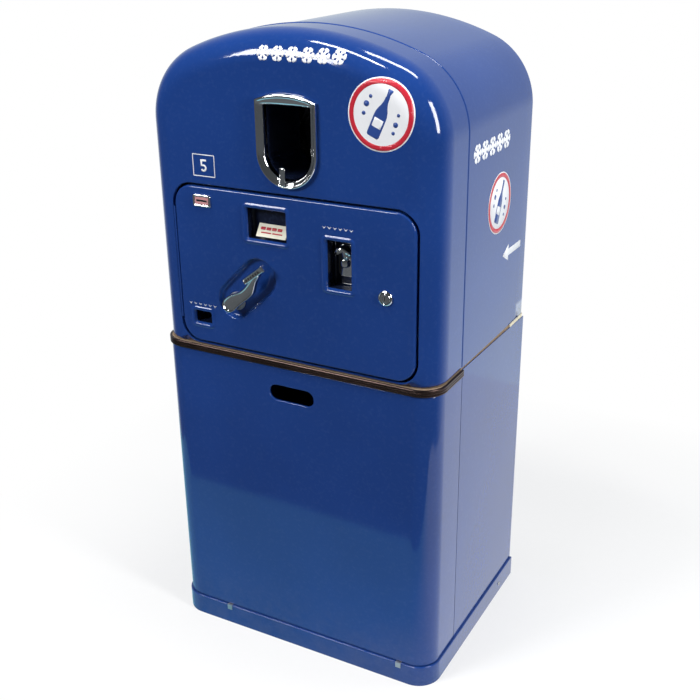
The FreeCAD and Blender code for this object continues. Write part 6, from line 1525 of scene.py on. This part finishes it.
def make_louvres():
    """The pressed hoods: one with round ends, repeated in columns, left and right, low and high."""
    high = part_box("lower_rear_panel")[1]
    start = LOUVRE_SIDE - LOUVRE_OVER
    long = LOUVRE_LONG + 2 * LOUVRE_OVER
    sections = []
    for step in range(LOUVRE_STEPS + 1):
        along = long * (1 - math.cos(math.pi * step / LOUVRE_STEPS)) / 2
        from_end = min(along, long - along)
        swell = math.sqrt(max(1 - (1 - min(from_end / LOUVRE_END, 1.0)) ** 2, 0.0))
        sections.append([])
        for turn in range(LOUVRE_TURNS + 1):
            angle = math.radians(90 * turn / LOUVRE_TURNS)
            sections[-1].append((
                start + along, high.y - 0.0002 + LOUVRE_REACH * swell * math.sin(angle),
                LOUVRE_LOW + LOUVRE_RISE - (LOUVRE_RISE - 0.0004) * (1 - math.cos(angle))))
    skin = Skin()
    skin.stack(sections, closed=False)
    upper = (high.z + 0.0015 - LOUVRE_FROM_TOP) - (LOUVRE_COUNT - 1) * LOUVRE_PITCH - LOUVRE_TALL
    lattice("louvre_hoods", skin, (
        (LOUVRE_COUNT, (0.0, 0.0, LOUVRE_PITCH)),
        (2, (-2 * LOUVRE_SIDE - LOUVRE_LONG, 0.0, 0.0)),
        (2, (0.0, 0.0, upper - LOUVRE_LOW))), "cabinet", "blue_enamel", LOUVRE_WALL)


def islands(mesh):
    """The low and high corners of each loose piece of a mesh."""
    whole = bmesh.new()
    whole.from_mesh(mesh)
    bmesh.ops.remove_doubles(whole, verts=whole.verts, dist=1e-5)
    reached = set()
    found = []
    for first in whole.verts:
        if first in reached:
            continue
        reached.add(first)
        group = [first]
        members = []
        while group:
            vertex = group.pop()
            members.append(vertex.co.copy())
            for edge in vertex.link_edges:
                other = edge.other_vert(vertex)
                if other not in reached:
                    reached.add(other)
                    group.append(other)
        found.append(corners_of(members))
    whole.free()
    return found


def level(outline, height):
    """An outline of (x, y) at a height."""
    return [(x, y, height) for x, y in outline]


SCREW_RADIUS = 0.0045
SCREW_HEIGHT = 0.0024
SHANK_LONG = 0.006


def screw_head():
    """A pan head with a cross recess, along +Z from its seat, and a short shank."""
    skin = Skin()
    rows = skin.stack(
        level(circle(0, 0, SCREW_RADIUS * share, 24), SCREW_HEIGHT * height)
        for share, height in ((1.0, 0.0), (1.0, 0.35), (0.94, 0.62), (0.80, 0.86), (0.62, 0.98)))
    cross = []
    arm, half = SCREW_RADIUS * 0.50, SCREW_RADIUS * 0.11
    for turn in range(4):
        cross += turned_shape([(half, -half), (arm, -half), (arm, half)], 0, 0, 90 * turn)
    top, foot = skin.stack([level(cross, SCREW_HEIGHT * 0.98),
                            level(turned_shape(cross, 0, 0, 0, 0.75), SCREW_HEIGHT * 0.35)])
    shank, tip = skin.stack(level(circle(0, 0, SCREW_RADIUS * 0.44, 24), height)
                            for height in (0.0, -SHANK_LONG))
    for outer, holes in ((rows[-1], [top]), (foot, []), (rows[0], [shank]), (tip, [])):
        skin.fill(outer, holes, across=("x", "y"))
    return built("screw_head", skin, 35.0, False)


def make_screws():
    """One screw on each place of the screws' node, its head outwards."""
    places, ways = [], []
    for low, high in islands(frame["nodes"]["cabinet_screws"].data):
        middle = (low + high) / 2
        size = high - low
        if max(size.x, size.z) < size.y or abs(size.x - size.z) < 1e-4:
            places.append((middle.x, high.y - SCREW_HEIGHT, middle.z))
            ways.append((0.0, 1.0, 0.0))
        else:
            side = math.copysign(1.0, middle.x)
            face = high.x if side > 0 else low.x
            places.append((face - side * SCREW_HEIGHT, middle.y, middle.z))
            ways.append((side, 0.0, 0.0))
    mesh = bpy.data.meshes.new("screws")
    mesh.from_pydata(places, [], [])
    held = mesh.attributes.new("way", "FLOAT_VECTOR", "POINT")
    for number, way in enumerate(ways):
        held.data[number].vector = way
    head = screw_head()
    thing = scatter_tree(head).applied(thing_of("screws", mesh), Material=FINISHES["steel"])
    bpy.data.objects.remove(head)
    return dressed(thing, "cabinet", "steel", nodes=("cabinet_screws",))


# The bottle drum
TUBE_RADIUS = 0.0302
TUBE_WALL = 0.0007
# The tube's wall in section: distance out from its outside, and distance along it
TUBE_PROFILE = ((-TUBE_WALL, 0.0), (0.0, 0.0), (0.0, 0.002), (0.0, 0.109), (0.0, 0.216),
                (0.0, 0.218), (-TUBE_WALL, 0.218), (-TUBE_WALL, 0.109), (-TUBE_WALL, 0.002))
CHANNELS = 9
RING_RADII = (0.098, 0.152, 0.206)
DRUM_CENTRE = (0.012, 0.0, 0.981)


def make_drum():
    """Three rings of open tubes, each ring turned by one notch from the last."""
    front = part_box("drum_bottle_tubes")[0].y
    notch = math.tau / (CHANNELS * len(RING_RADII))
    tubes = []
    for number, ring in enumerate(RING_RADII):
        skin = Skin()
        rows = skin.stack(placed(circle(0, ring, TUBE_RADIUS + out, 36), front + along)
                          for out, along in TUBE_PROFILE)
        skin.band(rows[-1], rows[0])
        tubes.append(WHEEL.applied(built("tubes", skin, 40.0, False), **{
            "Count": CHANNELS, "Start": -notch * number, "Step": -notch * len(RING_RADII),
            "Centre": DRUM_CENTRE, "Material": FINISHES["galvanised"]}))
    return joined("bottle_tubes", tubes, "drum", "galvanised", ("drum_bottle_tubes",))


# The condenser's fins and the two coils of pipe
FINS = 56
FIN_STEPS = 24
FIN_SHEET = 0.00025
FIN_MARGIN = 0.001
FIN_WAVE = 0.0006
FIN_FROM_END = 0.026
PIPE_BEND = 0.019
PIPE_SIDES = 14
PIPE_RUNS = 6
PIPE_FROM_END = 0.006


def make_fins():
    """Thin waved fins, side by side along the condenser."""
    low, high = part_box("condenser")
    left, right = low.x + FIN_FROM_END, high.x - FIN_FROM_END
    foot, head = low.z + FIN_MARGIN, high.z - FIN_MARGIN
    sections = []
    for step in range(FIN_STEPS + 1):
        share = step / FIN_STEPS
        x = left + FIN_WAVE * math.sin(math.tau * share * 4)
        y = low.y + FIN_MARGIN / 2 + (high.y - low.y - FIN_MARGIN) * share
        sections.append([(x, y, foot), (x, y, head), (x + FIN_SHEET, y, head),
                         (x + FIN_SHEET, y, foot)])
    skin = Skin()
    rows = skin.stack(sections)
    skin.cap(rows[0])
    skin.cap(reversed(rows[-1]))
    lattice("condenser_fins", skin, ((FINS, ((right - left) / (FINS - 1), 0.0, 0.0)),),
            "cabinet", "aluminium")


def pipe_route(points):
    """A line through corner points, with a round bend at each corner."""
    route = [Vector(points[0])]
    for before, here, after in zip(points, points[1:], points[2:]):
        here = Vector(here)
        back, ahead = Vector(before) - here, Vector(after) - here
        cut = min(PIPE_BEND, back.length / 2, ahead.length / 2)
        start, stop = here + back.normalized() * cut, here + ahead.normalized() * cut
        for step in range(9):
            t = step / 8
            point = start * (1 - t) ** 2 + here * 2 * t * (1 - t) + stop * t ** 2
            if (point - route[-1]).length > 1e-5:
                route.append(point)
    route.append(Vector(points[-1]))
    return route


def make_coil(name, node, foot, pitch, radius):
    """A copper pipe in level runs that turn back at each end, in the place of a node."""
    low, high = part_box(node)
    points = []
    for run in range(PIPE_RUNS):
        ends = [low.x + PIPE_FROM_END, high.x - PIPE_FROM_END]
        points += [(x, (low.y + high.y) / 2, low.z + foot + pitch * run)
                   for x in (reversed(ends) if run % 2 else ends)]
    route = pipe_route(points)
    sections = []
    normal = (route[1] - route[0]).orthogonal()
    for place, point in enumerate(route):
        way = (route[min(place + 1, len(route) - 1)] - route[max(place - 1, 0)]).normalized()
        normal = (normal - way * normal.dot(way)).normalized()
        other = way.cross(normal)
        sections.append([point + normal * x + other * y
                         for x, y in circle(0, 0, radius, PIPE_SIDES)])
    skin = Skin()
    rows = skin.stack(sections)
    skin.cap(rows[0])
    skin.cap(reversed(rows[-1]))
    return dressed(built(name, skin, 50.0, False), "cabinet", "copper", nodes=(node,))


make_louvres()
make_screws()
make_drum()
make_fins()
make_coil("condenser_pipe", "condenser", 0.030, 0.038, 0.0048)
make_coil("evaporator_pipe", "evaporator_coil", 0.005, 0.036, 0.005)

# Pieces that keep their plain shape, with broken edges
for node, body, finish, edge in (
        ("base_plinth", "cabinet", "blue_enamel", 0.0006),
        ("lower_cabinet_shell", "cabinet", "blue_enamel", 0.0004),
        ("lower_rear_panel", "cabinet", "blue_enamel", 0.0002),
        ("upper_back_panel", "cabinet", "blue_enamel", 0.0004),
        ("joint_board", "cabinet", "fibre_board", 0.0008),
        ("compressor", "cabinet", "black_paint", 0.0008),
        ("fan_shroud", "cabinet", "galvanised", 0.0006),
        ("fan_motor", "cabinet", "black_paint", 0.0012),
        ("coin_box", "coin_box", "galvanised", 0.0003),
        ("cap_box", "cap_box", "galvanised", 0.0003),
        ("drum_frame", "drum", "galvanised", 0.0004),
        ("drum_ratchet_ring", "drum", "steel", 0.0004)):
    smooth_copy(node, body, finish, edge)


# Every other node keeps its CAD shape under its own finish
SLOTS = {part["node"]: part["material_slot"] for part in frame["record"]["subparts"]}
REPLACED = {node for thing in bpy.data.objects for node in thing.get("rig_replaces", [])}
for node, thing in frame["nodes"].items():
    if node in REPLACED:
        continue
    if not thing.material_slots:
        thing.data.materials.append(None)
    for place in thing.material_slots:
        place.material = FINISHES[SLOTS[node]]


# Floor and lights: left, near, right, far and corner radius of the floor
FLOOR = (-1.15, -0.74, 1.35, 1.30, 0.35)
FLOOR_LIFT = 0.60


def make_floor():
    """A sheet of pale paper with round corners, larger than the shadow."""
    skin = Skin()
    rows = skin.stack(level(rounded(*grown(FLOOR, -margin)), 0.0) for margin in (0.0, 0.25, 0.34))
    skin.cap(rows[-1])
    mesh = skin.mesh("pale_floor")
    facing(mesh, UP, [mesh.polygons[0]])
    return thing_of("pale_floor", mesh)


def light_path(net, ray):
    """1 for one kind of ray, and 0 for the others."""
    return net.node("ShaderNodeLightPath", output=ray)


def blend(net, factor, first, second):
    """A shader between two shaders."""
    return net.node("ShaderNodeMixShader", None, {0: factor, 1: first, 2: second})


def floor_finish():
    """Pale paper: it keeps the shadow, and turns to plain white for the eye towards its edges. In
    reflections it glows as painted light, teal in front and near white behind.
    """
    left, near, right, far, _ = FLOOR
    paper = Finish("pale_paper")
    grain = paper.noise(60.0, 3.0)
    shaded = paper.node("ShaderNodeBsdfPrincipled", None, {
        "Base Color": paper.mix(grain, (0.80, 0.80, 0.80), (0.84, 0.84, 0.84)),
        "Roughness": 0.85 + grain * 0.05, "Specular IOR Level": 0.0})
    white = paper.node("ShaderNodeEmission", None, {"Color": (1.0, 1.0, 1.0), "Strength": 1.0})
    across = abs(paper.axis("x") - (left + right) / 2) / ((right - left) / 2)
    along = abs(paper.axis("y") - (near + far) / 2) / ((far - near) / 2)
    edge = across.maths("MAXIMUM", across, along).above(0.70, 0.50)
    lift = light_path(paper, "Is Camera Ray") * (FLOOR_LIFT + edge * (1 - FLOOR_LIFT))
    # Painted light: seen in reflections the paper glows on its own, teal in front and near white
    # behind.
    rear = (paper.axis("y") + paper.axis("x") * 0.8).above(-0.05, 0.5)
    glow = paper.mix(rear, (0.22, 0.47, 0.55), (0.92, 0.95, 1.0))
    bright = paper.node("ShaderNodeEmission", None, {"Color": glow, "Strength": 1.35})
    return paper.ended(blend(paper, light_path(paper, "Is Glossy Ray"),
                             blend(paper, lift, shaded, white), bright))


floor = make_floor()
floor.data.materials.append(floor_finish())


def softbox(name, place, target, size, power):
    """A white rectangular soft light aimed at a point."""
    lamp = bpy.data.lights.new(name, "AREA")
    lamp.shape = "RECTANGLE"
    lamp.size, lamp.size_y = size
    lamp.energy = power
    thing = thing_of(name, lamp)
    thing.rotation_mode = "QUATERNION"
    thing.rotation_quaternion = (Vector(target) - Vector(place)).to_track_quat("-Z", "Y")
    thing.location = place


softbox("key_left", (-1.7, -2.7, 2.7), (0, 0, 0.8), (1.3, 0.9), 100)
softbox("side_right", (2.6, -0.7, 2.0), (0.2, 0, 0.8), (0.5, 1.6), 66)
softbox("top_strip", (0.55, 0.1, 3.6), (0.1, 0.0, 1.2), (0.30, 1.5), 40)
softbox("top_front", (-0.5, -0.9, 3.9), (0, 0, 1.0), (1.3, 0.22), 40)


def studio_world():
    """White to the eye. In reflections and for soft light, a bright room behind a dark one."""
    world = bpy.data.worlds.new("studio")
    world.use_nodes = True
    net = Net(world.node_tree, "ShaderNodeOutputWorld")
    way = net.node("ShaderNodeTexCoord", output="Generated")
    behind = net.node("ShaderNodeMapRange", {"interpolation_type": "SMOOTHSTEP"}, {
        "Value": net.node("ShaderNodeSeparateXYZ", None, {0: way}, "Y"),
        "From Min": -0.10, "From Max": 0.85, "To Min": 0.085, "To Max": 1.0})
    lower = net.node("ShaderNodeMapRange", None, {
        "Value": net.node("ShaderNodeSeparateXYZ", None, {0: way}, "Z"),
        "From Min": -0.45, "From Max": -0.05, "To Min": 1.6, "To Max": 0.75})
    room = net.node("ShaderNodeBackground", None, {
        "Color": (0.86, 0.94, 1.0), "Strength": behind * lower})
    white = net.node("ShaderNodeBackground", None, {"Color": (1.0, 1.0, 1.0), "Strength": 1.0})
    net.feed(net.end.inputs["Surface"],
             blend(net, light_path(net, "Is Camera Ray"), room, white))
    return world


SCENE.world = studio_world()
SCENE.view_settings.view_transform = "Standard"
SCENE.view_settings.look = "None"
SCENE.view_settings.exposure = 0.0
SCENE.view_settings.gamma = 1.0


# Camera: solved from the photograph. Its place, and its azimuth, elevation and roll in degrees
CAMERA_PLACE = (1.02031, -1.84725, 1.52988)
CAMERA_WAY = (28.7655, 23.0412, -0.7224)
CAMERA_LENS = 53.57


def turned(azimuth, elevation, roll):
    """The camera's matrix from the way that it looks."""
    az, el, ro = (math.radians(value) for value in (azimuth, elevation, roll))
    back = Vector((math.sin(az) * math.cos(el), -math.cos(az) * math.cos(el), math.sin(el)))
    right = Vector((math.cos(az), math.sin(az), 0.0))
    up = back.cross(right)
    across = math.cos(ro) * right + math.sin(ro) * up
    over = math.cos(ro) * up - math.sin(ro) * right
    return Matrix((across, over, back)).transposed().to_4x4()


lens = bpy.data.cameras.new("camera")
lens.sensor_width = 36.0
lens.lens = CAMERA_LENS
lens.clip_start = 0.05
lens.clip_end = 60.0
eye = thing_of("camera", lens)
eye.matrix_world = Matrix.Translation(CAMERA_PLACE) @ turned(*CAMERA_WAY)
SCENE.camera = eye
